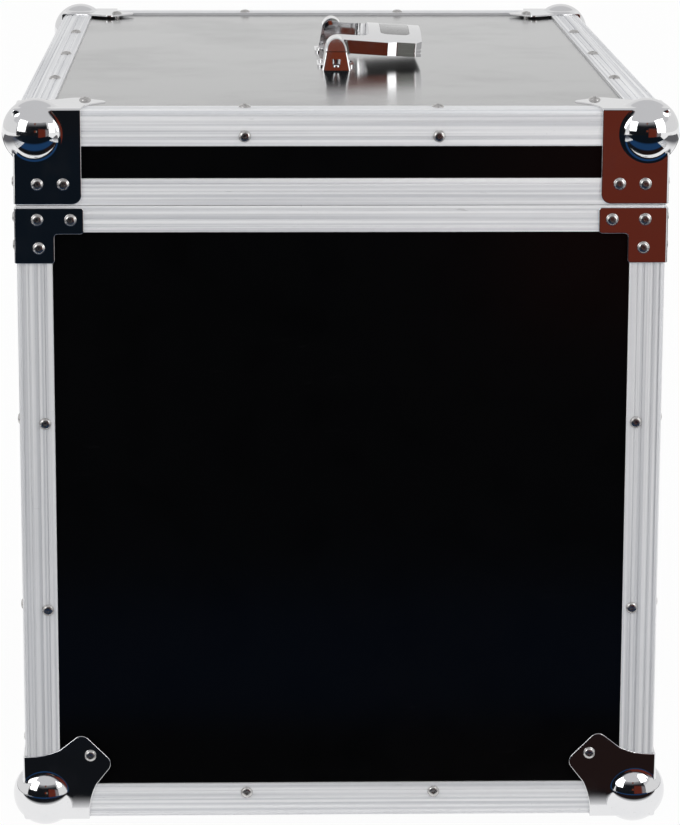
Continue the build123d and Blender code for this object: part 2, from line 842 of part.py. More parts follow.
def handle_bracket():
    """The front bracket: a bell-shaped housing on a flat foot that reaches in under the grip."""
    long_way = extrude(Plane.XZ * bracket_profile(), amount=bracket_outer + past)
    toe = -bracket_outer
    side_points = (
        (-bracket_inner, 0),
        (toe, 0),
        (toe + bracket_toe_slope, bracket_waist_height),
        (toe + bracket_top_slope, bracket_height),
        (-bracket_inner, bracket_height),
    )
    housing = long_way & prism(Plane.YZ, side_points, bracket_base_half * 2)
    rim = [
        edge for edge in housing.edges()
        if edge.center().Y < toe + past + 1
        and (abs(edge.center().X) > 1 or edge.center().Z > bracket_waist_height + 1)
    ]
    housing = fillet(rim, bracket_rim_round)
    line_low = bracket_waist_height - bracket_line_width / 2
    line_deep = toe + bracket_toe_slope + bracket_line_depth
    housing -= box_between(
        (-bracket_base_half, toe - past, line_low),
        (bracket_base_half, line_deep, line_low + bracket_line_width),
    )
    pocket_height = toe_pocket_top - toe_pocket_floor
    pocket_middle = (toe_pocket_top + toe_pocket_floor) / 2
    pocket = Cylinder(toe_pocket_radius, pocket_height)
    housing -= Pos(0, toe_screw_inset - bracket_outer, pocket_middle) * pocket
    foot_face = rect_between((-foot_half_width, -bracket_inner - past), (foot_half_width, -foot_inner))
    foot_face = fillet(foot_face.vertices(), foot_round)
    bracket = housing + extrude(foot_face, amount=foot_thick)
    ring = Pos(0, -bracket_inner, pivot_height) * Rot(90, 0, 0)
    ring_middle = Pos(0, 0, -bracket_ring_height / 2)
    bracket += ring * ring_middle * Cylinder(bracket_ring_radius, bracket_ring_height)
    bracket -= ring * Cylinder(pivot_radius, 2 * pivot_into_bracket)
    return cut(bracket, boxed([screw_hole(place) for place in screw_places()]))


def screw_places():
    """Where the front bracket's screws stand: two in the foot and one in the toe."""
    return (
        (-foot_screw_side, -foot_screw_along, foot_thick),
        (foot_screw_side, -foot_screw_along, foot_thick),
        (0, toe_screw_inset - bracket_outer, toe_pocket_floor),
    )


def screw_hole(place):
    x, y, z = place
    return Pos(x, y, z - panel_thick) * Cylinder(screw_shank_radius, 2 * panel_thick + screw_hole_spare)


def screw(place):
    """A round-headed slotted screw that reaches through the lid's panel."""
    x, y, z = place
    head = Pos(0, 0, screw_head_height / 2) * Cylinder(screw_head_radius, screw_head_height)
    head = fillet(head.edges().sort_by(Axis.Z)[-1], screw_head_round)
    slot_low = screw_head_height - screw_slot_depth
    head -= box_between(
        (-past, -screw_slot_width / 2, slot_low), (past, screw_slot_width / 2, past)
    )
    length = z + panel_thick
    shank = Pos(0, 0, -length / 2) * Cylinder(screw_shank_radius, length)
    return Pos(x, y, z) * (head + shank)


def pivot_pin():
    """The front pivot pin, from the bracket into the grip's knuckle."""
    start = -bracket_inner - pivot_into_bracket
    end = -bracket_inner + pivot_into_grip
    return barrel(pivot_radius, (start, end), 0, pivot_height)


def grip_outline(inset):
    """The grip seen from above: two arms that widen to shoulders, a bar and cut-off outer corners."""
    reach = grip_reach - inset
    side = grip_side[1] - inset
    half = [
        (0, grip_arm_outer - inset),
        (grip_shoulder[0], grip_shoulder[1] - inset),
        (grip_side[0], side),
        (reach - grip_corner, side),
        (reach, side - grip_corner),
    ]
    points = [(x, -y) for x, y in half] + half[::-1]
    face = make_face(Polyline(*points, close=True))
    corners = [vertex for vertex in face.vertices() if vertex.X > 1]
    return fillet(corners, grip_corner_round)


def crown_profile(lift):
    """The grip seen from its end: flat below, crowned above."""
    low = -grip_band_half
    half = grip_crown_half
    edges = [
        Line((-half, low), (half, low)),
        Line((half, low), (half, grip_crown_edge + lift)),
        ThreePointArc(
            (half, grip_crown_edge + lift), (0, grip_crown_top + lift), (-half, grip_crown_edge + lift)
        ),
        Line((-half, grip_crown_edge + lift), (-half, low)),
    ]
    return make_face(edges)


def crowned(face, lift):
    """A face seen from above, raised to the crown."""
    tall = extrude(Pos(0, 0, -grip_crown_top) * face, amount=3 * grip_crown_top)
    profile = Plane((-grip_reach, 0, 0), x_dir=(0, 1, 0), z_dir=(1, 0, 0)) * crown_profile(lift)
    return tall & extrude(profile, amount=3 * grip_reach)


def grip_frame(shape):
    """A grip piece, drawn flat about its pivot, folded down to the lid."""
    return Pos(0, 0, pivot_height) * Rot(0, grip_tilt, 0) * shape


def insert_face(clearance):
    face = rect_between(
        (insert_start + clearance, -insert_half_length + clearance),
        (insert_end - clearance, insert_half_length - clearance),
    )
    return fillet(face.vertices(), insert_round)


def grip():
    """A crowned U with grooved sides, a sunk seat for its insert and a knuckle at each end."""
    opening = rect_between((-past, -grip_arm_inner), (grip_opening_end, grip_arm_inner))
    far = [vertex for vertex in opening.vertices() if vertex.X > 0]
    opening = fillet(far, grip_opening_round)
    solid = crowned(grip_outline(0) - opening, 0)
    for place in grip_grooves:
        outside = Pos(0, 0, place - grip_groove_width / 2) * (
            rect_between((-grip_reach, -grip_reach), (2 * grip_reach, grip_reach))
            - grip_outline(grip_groove_depth)
        )
        ring = extrude(outside, amount=grip_groove_width)
        solid -= ring & box_between((grip_knuckle_radius, -grip_reach, -grip_reach),
                                    (2 * grip_reach, grip_reach, grip_reach))
    seat = crowned(insert_face(0), 0) - crowned(insert_face(0), -insert_sink)
    solid -= seat
    for side in (-1, 1):
        ends = sorted((side * grip_arm_inner, side * grip_knuckle_end))
        solid += barrel(grip_knuckle_radius, ends, 0, 0)
    for side in (-1, 1):
        ends = sorted((side * (bracket_inner - pivot_into_grip), side * (grip_knuckle_end + past)))
        solid -= barrel(pivot_radius + pivot_clearance, ends, 0, 0)
    return grip_frame(solid)


def grip_insert():
    """The moulded insert in the grip's seat, its face following the crown."""
    face = insert_face(insert_fit)
    return grip_frame(crowned(face, 0) - crowned(face, -insert_sink))


# Panels and foam

def wall_sheet(low_n, high_n, side_gap, low_z, high_z, on_end):
    """A flat sheet inside the front face or, if not on_end, inside the left face."""
    if on_end:
        low = (-half_width + side_gap, -half_depth + low_n, low_z)
        return box_between(low, (half_width - side_gap, -half_depth + high_n, high_z))
    low = (-half_width + low_n, -half_depth + side_gap, low_z)
    return box_between(low, (-half_width + high_n, half_depth - side_gap, high_z))


def flat_sheet(low_z, high_z, side_gap):
    low = (-half_width + side_gap, -half_depth + side_gap, low_z)
    return box_between(low, (half_width - side_gap, half_depth - side_gap, high_z))


def latch_cutters(clearance, depth, above, below):
    """Blocks that clear the latch dishes."""
    half = dish_half_width + clearance
    low = (-half, -below - clearance, -depth)
    block = box_between(low, (half, above + clearance, past))
    return boxed([on_right_side(block, middle) for middle in latch_places])


def add_body(holes):
    """The body's panels, edging, plates and lining."""
    dish_cut = latch_cutters(dish_cut_clearance, dish_back + past, dish_height_above, dish_depth_below)
    wall = (leg_thick, panel_inner, panel_edge, edge_bottom + panel_edge)
    wall_top = seam_z - closing_head - slot_clearance
    front = wall_sheet(*wall, wall_top, True)
    left = wall_sheet(*wall, wall_top, False)
    base = flat_sheet(edge_bottom + leg_thick, edge_bottom + panel_inner, panel_edge)
    nodes["base_panel"] = cut(base, holes)
    nodes["front_panel"] = cut(front, holes)
    nodes["back_panel"] = cut(flip_y(front), holes)
    nodes["left_panel"] = cut(left, holes)
    nodes["right_panel"] = cut(flip_x(left), holes + dish_cut)

    edging = edging_set(body_height - closing_height)
    for side in ("front", "back", "left", "right"):
        nodes["bottom_rail_" + side] = cut(Pos(0, 0, edge_bottom) * edging[side], holes)
    posts = edging["posts"].values()
    nodes["corner_posts"] = [cut(Pos(0, 0, edge_bottom) * post, holes) for post in posts]
    rails = [Pos(0, 0, seam_z) * flip_z(rail) for rail in closing_frame(False)]
    nodes["body_closing_frame"] = [cut(rail, holes + dish_cut) for rail in rails]

    clover = clover_face()
    ball = ball_corner(clover, clover, low_ball_rise)
    ball = Pos(-half_width, -half_depth, edge_bottom) * ball
    for place, shape in at_four_corners(ball).items():
        nodes["ball_corner_" + place] = cut(shape, holes)
    brace = Pos(-half_width, -half_depth, seam_z) * corner_brace()
    for place, shape in at_four_corners(brace).items():
        nodes["corner_brace_" + place] = cut(shape, holes)

    foam_end = inner_leg_end + foam_edge_gap
    floor_low = edge_bottom + panel_inner
    nodes["floor_foam"] = flat_sheet(floor_low, floor_low + foam_thick, foam_end)
    foam = (panel_inner, panel_inner + foam_thick, foam_end, edge_bottom + foam_end)
    foam_top = seam_z - closing_height - foam_edge_gap
    front_foam = wall_sheet(*foam, foam_top, True)
    left_foam = wall_sheet(*foam, foam_top, False)
    pocket_depth = panel_inner + foam_thick + past
    pockets = latch_cutters(foam_pocket_clearance, pocket_depth, dish_height_above, dish_depth_below)
    pocket_low = seam_z + seam_gap / 2 - dish_depth_below - foam_pocket_clearance
    below_dishes = flip_x(wall_sheet(*foam, pocket_low, False))
    upper = (panel_inner, panel_inner + foam_thick, foam_end, pocket_low)
    beside_dishes = cut(flip_x(wall_sheet(*upper, foam_top, False)), pockets)
    nodes["wall_foam"] = [front_foam, flip_y(front_foam), left_foam, below_dishes, beside_dishes]


def add_lid(holes):
    """The lid's panels, edging, plates and lining."""
    dish_cut = latch_cutters(dish_cut_clearance, dish_back + past, dish_height_above, dish_depth_below)
    wall = (leg_thick, panel_inner, panel_edge, lid_bottom + closing_head + slot_clearance)
    front = wall_sheet(*wall, top_z - panel_edge, True)
    left = wall_sheet(*wall, top_z - panel_edge, False)
    sides = [front, flip_y(front), left, flip_x(left)]
    nodes["lid_panel"] = cut(flat_sheet(top_z - panel_inner, lid_panel_top, panel_edge), holes)
    nodes["lid_side_panels"] = [cut(side, holes + dish_cut) for side in sides]

    edging = edging_set(lid_height - closing_height)
    for side in ("front", "back", "left", "right"):
        rail = Pos(0, 0, top_z) * flip_z(edging[side])
        nodes["lid_rail_" + side] = cut(rail, holes)
    posts = [Pos(0, 0, top_z) * flip_z(post) for post in edging["posts"].values()]
    nodes["lid_corner_posts"] = [cut(post, holes) for post in posts]
    rails = [Pos(0, 0, lid_bottom) * rail for rail in closing_frame(True)]
    nodes["lid_closing_frame"] = [cut(rail, holes + dish_cut) for rail in rails]

    ball = flip_z(ball_corner(clover_face(), lid_plate_face(), lid_ball_drop))
    ball = Pos(-half_width, -half_depth, top_z) * ball
    for place, shape in at_four_corners(ball).items():
        nodes["lid_ball_corner_" + place] = cut(shape, holes)

    foam_high = top_z - panel_inner
    nodes["lid_foam"] = flat_sheet(foam_high - foam_thick, foam_high, inner_leg_end + foam_edge_gap)


def add_hinges_and_latches():
    nodes["hinge_body_leaves"] = [hinge_leaf(place, False) for place in hinge_places]
    nodes["hinge_lid_leaves"] = [hinge_leaf(place, True) for place in hinge_places]
    nodes["hinge_pins"] = [hinge_pin(place) for place in hinge_places]
    pieces = {
        "latch_dish": latch_dish(),
        "keeper_dish": keeper_dish(),
        "turn_plate": turn_plate(),
        "latch_claw": claw(),
        "wing_upper": wing(),
    }
    across_spindle = Plane((0, -latch_drop, 0), x_dir=(1, 0, 0), z_dir=(0, 1, 0))
    pieces["wing_lower"] = mirror(pieces["wing_upper"], about=across_spindle)
    for end, place in zip(("front", "back"), latch_places):
        for name, shape in pieces.items():
            nodes[name + "_" + end] = on_right_side(shape, place)
    nodes["keeper_studs"] = [on_right_side(keeper_stud(), place) for place in latch_places]


def handle_place():
    return Pos(handle_right, -handle_forward, lid_panel_top)


def add_handle():
    place = handle_place()
    bracket = handle_bracket()
    nodes["handle_bracket_front"] = place * bracket
    nodes["handle_bracket_back"] = place * flip_y(bracket)
    screws = [screw(spot) for spot in screw_places()]
    nodes["handle_screws"] = [place * piece for piece in screws + [flip_y(piece) for piece in screws]]
    pin = pivot_pin()
    nodes["handle_pivot_pins"] = [place * pin, place * flip_y(pin)]
    nodes["grip"] = place * grip()
    nodes["grip_insert"] = place * grip_insert()


def add_rivets(name, sites):
    nodes[name] = [site.make() for site in sites]


body_edge = body_edge_sites()
body_corner = body_corner_sites() + hinge_sites(seam_z - hinge_rivet_drop)
body_corner += dish_sites(dish_rivets_below)
lid_edge = lid_edge_sites()
lid_corner = lid_corner_sites() + hinge_sites(lid_bottom + hinge_rivet_drop)
lid_corner += dish_sites(dish_rivets_above)
body_holes = boxed([site.hole() for site in body_edge + body_corner])
lid_holes = boxed([site.hole() for site in lid_edge + lid_corner])
screw_holes = [screw_hole(spot) for spot in screw_places()]
screw_holes += [flip_y(hole) for hole in screw_holes]
handle_holes = boxed([handle_place() * hole for hole in screw_holes])

add_body(body_holes)
add_lid(lid_holes + handle_holes)
add_hinges_and_latches()
add_handle()
add_rivets("body_edge_rivets", body_edge)
add_rivets("body_corner_rivets", body_corner)
add_rivets("lid_edge_rivets", lid_edge)
add_rivets("lid_corner_rivets", lid_corner)
for leaf_node, leaf_holes in (("hinge_body_leaves", body_holes), ("hinge_lid_leaves", lid_holes)):
    nodes[leaf_node] = [cut(leaf, leaf_holes) for leaf in nodes[leaf_node]]
for end in ("front", "back"):
    nodes["latch_dish_" + end] = cut(nodes["latch_dish_" + end], body_holes)
    nodes["keeper_dish_" + end] = cut(nodes["keeper_dish_" + end], lid_holes)

for name, shapes in nodes.items():
    export_step(Compound(solids_of(shapes)), "parts/" + name + ".step")
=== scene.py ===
import json
import math
import bpy
from mathutils import Matrix, Vector, noise

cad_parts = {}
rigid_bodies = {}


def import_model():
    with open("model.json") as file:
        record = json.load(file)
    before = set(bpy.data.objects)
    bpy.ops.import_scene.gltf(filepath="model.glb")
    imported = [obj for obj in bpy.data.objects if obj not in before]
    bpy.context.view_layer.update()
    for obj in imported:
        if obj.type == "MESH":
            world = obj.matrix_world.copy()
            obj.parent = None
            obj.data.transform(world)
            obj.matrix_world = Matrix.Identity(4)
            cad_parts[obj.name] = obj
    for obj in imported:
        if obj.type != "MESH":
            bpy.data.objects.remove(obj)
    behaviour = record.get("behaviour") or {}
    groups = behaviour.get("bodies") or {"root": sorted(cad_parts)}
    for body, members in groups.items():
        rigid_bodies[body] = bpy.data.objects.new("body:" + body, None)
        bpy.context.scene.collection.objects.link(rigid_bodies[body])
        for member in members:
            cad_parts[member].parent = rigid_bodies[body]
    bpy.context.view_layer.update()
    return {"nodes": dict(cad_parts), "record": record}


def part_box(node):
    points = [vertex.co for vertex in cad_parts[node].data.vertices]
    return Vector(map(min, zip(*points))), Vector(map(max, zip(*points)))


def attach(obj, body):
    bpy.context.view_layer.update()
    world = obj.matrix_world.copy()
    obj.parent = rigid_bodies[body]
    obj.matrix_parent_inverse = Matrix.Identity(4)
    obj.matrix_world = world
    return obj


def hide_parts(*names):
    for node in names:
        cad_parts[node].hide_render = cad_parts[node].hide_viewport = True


for leftover in list(bpy.data.objects):
    bpy.data.objects.remove(leftover, do_unlink=True)

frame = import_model()
nodes = frame["nodes"]
print("frame loaded:", len(nodes), "nodes")

# the edging's outer faces, without balls and rivets, give the case's half sizes
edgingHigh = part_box("body_closing_frame")[1]
halfWidth = edgingHigh.x
halfDepth = edgingHigh.y


# shader helpers

mixSockets = {"RGBA": (6, 7, 2), "VECTOR": (4, 5, 1)}    # a Mix node's two inputs and its output


def newMaterial(name):
    material = bpy.data.materials.new(name)
    material.use_nodes = True
    material.node_tree.nodes.clear()
    return material


def addNode(tree, kind, **settings):
    node = tree.nodes.new(kind)
    for name, value in settings.items():
        setattr(node, name, value)
    return node


def join(tree, source, target):
    tree.links.new(source, target)


def feed(tree, value, socket):
    # a socket is linked, a plain number or colour is set
    if isinstance(value, bpy.types.NodeSocket):
        join(tree, value, socket)
    elif socket.type == "RGBA":
        socket.default_value = (*value, 1.0)
    else:
        socket.default_value = value


def mathNode(tree, operation, first, second=None, clamp=False):
    node = addNode(tree, "ShaderNodeMath", operation=operation, use_clamp=clamp)
    feed(tree, first, node.inputs[0])
    if second is not None:
        feed(tree, second, node.inputs[1])
    return node.outputs[0]


def multiply(tree, first, second, clamp=False):
    return mathNode(tree, "MULTIPLY", first, second, clamp)


def mapRange(tree, value, source, target=(0.0, 1.0), smooth=False):
    # source and target are pairs
    node = addNode(tree, "ShaderNodeMapRange")
    if smooth:
        node.interpolation_type = "SMOOTHSTEP"
    feed(tree, value, node.inputs["Value"])
    for label, number in zip(("From Min", "From Max", "To Min", "To Max"), (*source, *target)):
        feed(tree, number, node.inputs[label])
    return node.outputs[0]


def mixNode(tree, kind, factor, first, second):
    node = addNode(tree, "ShaderNodeMix", data_type=kind)
    firstInput, secondInput, output = mixSockets[kind]
    feed(tree, factor, node.inputs[0])
    feed(tree, first, node.inputs[firstInput])
    feed(tree, second, node.inputs[secondInput])
    return node.outputs[output]


def mixColours(tree, factor, first, second):
    return mixNode(tree, "RGBA", factor, first, second)


def stretched(tree, position, scale):
    # position times a scale for each axis
    node = addNode(tree, "ShaderNodeVectorMath", operation="MULTIPLY")
    join(tree, position, node.inputs[0])
    node.inputs[1].default_value = scale
    return node.outputs[0]


def axesOf(tree, vector):
    # the X, Y and Z of a place or a direction
    node = addNode(tree, "ShaderNodeSeparateXYZ")
    join(tree, vector, node.inputs[0])
    return node.outputs


def coordinates(tree, label):
    return addNode(tree, "ShaderNodeTexCoord").outputs[label]


def noiseOf(tree, position, scale, detail=2.0, roughness=0.5):
    node = addNode(tree, "ShaderNodeTexNoise")
    feed(tree, position, node.inputs["Vector"])
    feed(tree, scale, node.inputs["Scale"])
    node.inputs["Detail"].default_value = detail
    node.inputs["Roughness"].default_value = roughness
    return node.outputs[0]


def newGroup(name, inputs, outputs):
    # inputs: (name, socket type, value), outputs: (name, socket type)
    group = bpy.data.node_groups.new(name, "ShaderNodeTree")
    for label, kind, value in inputs:
        socket = group.interface.new_socket(label, in_out="INPUT", socket_type=kind)
        if value is not None:
            socket.default_value = value
    for label, kind in outputs:
        group.interface.new_socket(label, in_out="OUTPUT", socket_type=kind)
    entry = group.nodes.new("NodeGroupInput")
    leave = group.nodes.new("NodeGroupOutput")
    return group, entry.outputs, leave.inputs


def placeGroup(tree, group, position, **values):
    # one use of a shared group; a value's name is its socket's name without spaces
    node = tree.nodes.new("ShaderNodeGroup")
    node.node_tree = group
    join(tree, position, node.inputs["Position"])
    for socket in node.inputs:
        key = socket.name.replace(" ", "")
        key = key[0].lower() + key[1:]
        if key in values:
            feed(tree, values[key], socket)
    return node.outputs


# shared effects; sizes are counts per metre

railLines = {
    "fine": 2600.0,              # across the rail
    "slow": 9.0,                 # along it
    "detail": 2.0,
    "fineRoughness": 0.6,
    "wideShare": 0.2,            # the wide streaks' count, as a share of the fine lines'
    "streaks": (0.38, 0.64),
}


def buildRailGrain():
    # extrusion lines that run along each rail and turn at the mitres; Upright is 1 on posts
    look = railLines
    group, given, result = newGroup(
        "railGrain",
        [("Position", "NodeSocketVector", None), ("Half Width", "NodeSocketFloat", 0.2),
         ("Half Depth", "NodeSocketFloat", 0.3), ("Upright", "NodeSocketFloat", 0.0),
         ("Lines", "NodeSocketFloat", 1.0)],
        [("Grain", "NodeSocketFloat"), ("Streaks", "NodeSocketFloat")],
    )
    place = given["Position"]
    axes = axesOf(group, place)
    fromSide = mathNode(group, "SUBTRACT", given["Half Width"], mathNode(group, "ABSOLUTE", axes[0]))
    fromEnd = mathNode(group, "SUBTRACT", given["Half Depth"], mathNode(group, "ABSOLUTE", axes[1]))
    onSideRail = mathNode(group, "LESS_THAN", fromSide, fromEnd)
    fine, slow = look["fine"], look["slow"]
    alongX = stretched(group, place, (slow, fine, fine))
    alongY = stretched(group, place, (fine, slow, fine))
    alongZ = stretched(group, place, (fine, fine, slow))
    level = mixNode(group, "VECTOR", onSideRail, alongX, alongY)
    chosen = mixNode(group, "VECTOR", given["Upright"], level, alongZ)
    scaled = addNode(group, "ShaderNodeVectorMath", operation="SCALE")
    join(group, chosen, scaled.inputs[0])
    join(group, given["Lines"], scaled.inputs["Scale"])
    grain = noiseOf(group, scaled.outputs[0], 1.0, look["detail"], look["fineRoughness"])
    join(group, grain, result["Grain"])
    wide = stretched(group, scaled.outputs[0], (look["wideShare"],) * 3)
    streaks = mapRange(group, noiseOf(group, wide, 1.0, look["detail"]), look["streaks"])
    join(group, streaks, result["Streaks"])
    return group


def buildSoftSmudge():
    # cloudy patches, such as hand marks and uneven plating
    group, given, result = newGroup(
        "softSmudge",
        [("Position", "NodeSocketVector", None), ("Size", "NodeSocketFloat", 20.0),
         ("Low", "NodeSocketFloat", 0.4), ("High", "NodeSocketFloat", 0.7)],
        [("Mask", "NodeSocketFloat")],
    )
    cloud = noiseOf(group, given["Position"], given["Size"], detail=5.0, roughness=0.62)
    join(group, mapRange(group, cloud, (given["Low"], given["High"]), smooth=True), result["Mask"])
    return group


dustSpecks = {
    "speckSize": 1400.0,
    "specks": (0.66, 0.76),
    "patchSize": 14.0,
    "patches": (0.35, 0.75),
    "tilt": (0.2, 0.9),          # from upright faces to those that look up
    "share": (0.12, 1.0),        # the dust on them
}


def buildFineDust():
    # specks that settle on faces that look up
    look = dustSpecks
    group, given, result = newGroup(
        "fineDust",
        [("Position", "NodeSocketVector", None), ("Normal", "NodeSocketVector", None),
         ("Amount", "NodeSocketFloat", 0.5)],
        [("Mask", "NodeSocketFloat")],
    )
    place = given["Position"]
    specks = noiseOf(group, place, look["speckSize"], detail=1.0, roughness=0.4)
    specks = mapRange(group, specks, look["specks"])
    patches = noiseOf(group, place, look["patchSize"], detail=4.0, roughness=0.6)
    patches = mapRange(group, patches, look["patches"])
    upward = mapRange(group, axesOf(group, given["Normal"])[2], look["tilt"], look["share"])
    dust = multiply(group, multiply(group, specks, patches), upward)
    join(group, multiply(group, dust, given["Amount"], clamp=True), result["Mask"])
    return group


pebbleGrain = {
    "smoothness": 0.6,
    "fineScale": 2.3,            # the fine noise's count, as a share of the cells'
    "fineHeight": 0.4,
    "toneSize": 35.0,
}


def buildPebble():
    # the shallow pebbled grain of laminate, moulded plastic and foam cells
    look = pebbleGrain
    group, given, result = newGroup(
        "pebble",
        [("Position", "NodeSocketVector", None), ("Size", "NodeSocketFloat", 900.0)],
        [("Height", "NodeSocketFloat"), ("Tone", "NodeSocketFloat")],
    )
    place, size = given["Position"], given["Size"]
    cells = addNode(group, "ShaderNodeTexVoronoi", feature="SMOOTH_F1")
    join(group, place, cells.inputs["Vector"])
    join(group, size, cells.inputs["Scale"])
    cells.inputs["Smoothness"].default_value = look["smoothness"]
    fineSize = multiply(group, size, look["fineScale"])
    fine = noiseOf(group, place, fineSize, detail=3.0, roughness=0.55)
    height = mathNode(group, "ADD", cells.outputs["Distance"], multiply(group, fine, look["fineHeight"]))
    join(group, height, result["Height"])
    join(group, noiseOf(group, place, look["toneSize"], detail=4.0, roughness=0.6), result["Tone"])
    return group


scratchLines = {
    "directions": ((60.0, 900.0, 380.0), (700.0, 90.0, 520.0)),
    "patchSizes": (12.0, 20.0),  # where the scratches of each direction gather
    "thin": (0.70, 0.74),
    "patches": (0.5, 0.62),
}


def buildHairlines():
    # sparse fine scratches in two directions
    look = scratchLines
    group, given, result = newGroup(
        "hairlines",
        [("Position", "NodeSocketVector", None), ("Density", "NodeSocketFloat", 1.0)],
        [("Mask", "NodeSocketFloat")],
    )
    found = []
    for scale, patchSize in zip(look["directions"], look["patchSizes"]):
        lines = noiseOf(group, stretched(group, given["Position"], scale), 1.0)
        thin = mapRange(group, lines, look["thin"])
        gate = mapRange(group, noiseOf(group, given["Position"], patchSize), look["patches"])
        found.append(multiply(group, thin, gate))
    both = mathNode(group, "MAXIMUM", found[0], found[1])
    join(group, multiply(group, both, given["Density"], clamp=True), result["Mask"])
    return group


railGrain = buildRailGrain()
softSmudge = buildSoftSmudge()
fineDust = buildFineDust()
pebble = buildPebble()
hairlines = buildHairlines()
print("shared effects built")


# finishes; where a value is a pair, a mask blends from the first to the second

toneRange = (0.3, 0.8)           # of the pebble effect's slow tone

def startFinish(name, metallic=0.0):
    # a Principled surface, and what the finishes need to paint it
    material = newMaterial(name)
    tree = material.node_tree
    surface = addNode(tree, "ShaderNodeBsdfPrincipled")
    output = addNode(tree, "ShaderNodeOutputMaterial")
    join(tree, surface.outputs[0], output.inputs[0])
    surface.inputs["Metallic"].default_value = metallic
    place = coordinates(tree, "Object")
    facing = addNode(tree, "ShaderNodeNewGeometry").outputs["Normal"]
    return material, tree, surface, place, facing


def bump(tree, surface, height, strength, distance):
    node = addNode(tree, "ShaderNodeBump")
    node.inputs["Strength"].default_value = strength
    node.inputs["Distance"].default_value = distance
    join(tree, height, node.inputs["Height"])
    join(tree, node.outputs[0], surface.inputs["Normal"])


def mottled(tree, grain, look):
    # the base colour, darker and lighter from place to place
    tone = mapRange(tree, grain["Tone"], toneRange, look["tone"])
    return mixColours(tree, tone, (0.0, 0.0, 0.0), look["colour"])


laminateLook = {
    "colour": (0.0016, 0.0016, 0.0018),
    "tone": (0.75, 1.35),
    "scratchColour": (0.02, 0.02, 0.02),
    "dustColour": (0.10, 0.095, 0.09),
    "roughness": (0.15, 0.24),
    "index": 1.23,               # low, so that it is black straight on and bright at a grazing angle
    "coat": 1.0,
    "coatRoughness": 0.135,
    "grainSize": 1100.0,
    "grainStrength": 0.35,
    "grainDepth": 0.00002,
    "smudge": {"size": 9.0, "low": 0.42, "high": 0.72},
    "scratches": 0.35,
    "scratchShare": 0.25,
    "dust": 0.35,
}


def laminateFinish():
    look = laminateLook
    material, tree, surface, place, facing = startFinish("blackLaminate")
    surface.inputs["IOR"].default_value = look["index"]
    surface.inputs["Coat Weight"].default_value = look["coat"]
    surface.inputs["Coat IOR"].default_value = look["index"]
    surface.inputs["Coat Roughness"].default_value = look["coatRoughness"]
    grain = placeGroup(tree, pebble, place, size=look["grainSize"])
    dust = placeGroup(tree, fineDust, place, normal=facing, amount=look["dust"])
    smudge = placeGroup(tree, softSmudge, place, **look["smudge"])
    scratch = placeGroup(tree, hairlines, place, density=look["scratches"])
    scored = multiply(tree, scratch["Mask"], look["scratchShare"])
    marked = mixColours(tree, scored, mottled(tree, grain, look), look["scratchColour"])
    join(tree, mixColours(tree, dust["Mask"], marked, look["dustColour"]), surface.inputs["Base Color"])
    rough = mapRange(tree, smudge["Mask"], (0.0, 1.0), look["roughness"])
    join(tree, rough, surface.inputs["Roughness"])
    bump(tree, surface, grain["Height"], look["grainStrength"], look["grainDepth"])
    return material


edgingLook = {
    "colour": (0.96, 0.965, 0.98),
    "streakColour": (0.67, 0.68, 0.71),
    "dullColour": (0.66, 0.67, 0.69),
    "scratchColour": (0.45, 0.45, 0.46),
    "dustColour": (0.6, 0.58, 0.55),
    "uprightShade": 0.10,        # posts are a little darker than rails
    "metallic": 0.22,            # the matt skin of anodised aluminium hides part of the metal's mirror
    "roughness": (0.30, 0.44),
    "grainRange": (0.3, 0.75),
    "smudgeRoughness": 0.06,
    "grainStrength": 0.4,
    "grainDepth": 0.000012,
    "smudge": {"size": 7.0, "low": 0.45, "high": 0.8},
    "dullShare": 0.3,
    "scratches": 0.7,
    "scratchShare": 0.5,
    "dust": 0.25,
}


def edgingFinish(name, upright):
    # upright is 1 for posts and 0 for rails
    look = edgingLook
    material, tree, surface, place, facing = startFinish(name, metallic=look["metallic"])
    lines = placeGroup(tree, railGrain, place, halfWidth=halfWidth, halfDepth=halfDepth,
                       upright=upright, lines=1.0)
    smudge = placeGroup(tree, softSmudge, place, **look["smudge"])
    scratch = placeGroup(tree, hairlines, place, density=look["scratches"])
    dust = placeGroup(tree, fineDust, place, normal=facing, amount=look["dust"])
    shade = 1.0 - look["uprightShade"] * upright
    keys = ("colour", "streakColour", "dullColour")
    clean, streak, dull = (tuple(shade * part for part in look[key]) for key in keys)
    streaked = mixColours(tree, lines["Streaks"], clean, streak)
    dulled = mixColours(tree, multiply(tree, smudge["Mask"], look["dullShare"]), streaked, dull)
    scored = multiply(tree, scratch["Mask"], look["scratchShare"])
    worn = mixColours(tree, scored, dulled, look["scratchColour"])
    join(tree, mixColours(tree, dust["Mask"], worn, look["dustColour"]), surface.inputs["Base Color"])
    rough = mapRange(tree, lines["Grain"], look["grainRange"], look["roughness"])
    marked = multiply(tree, smudge["Mask"], look["smudgeRoughness"])
    join(tree, mathNode(tree, "ADD", rough, marked), surface.inputs["Roughness"])
    bump(tree, surface, lines["Grain"], look["grainStrength"], look["grainDepth"])
    return material


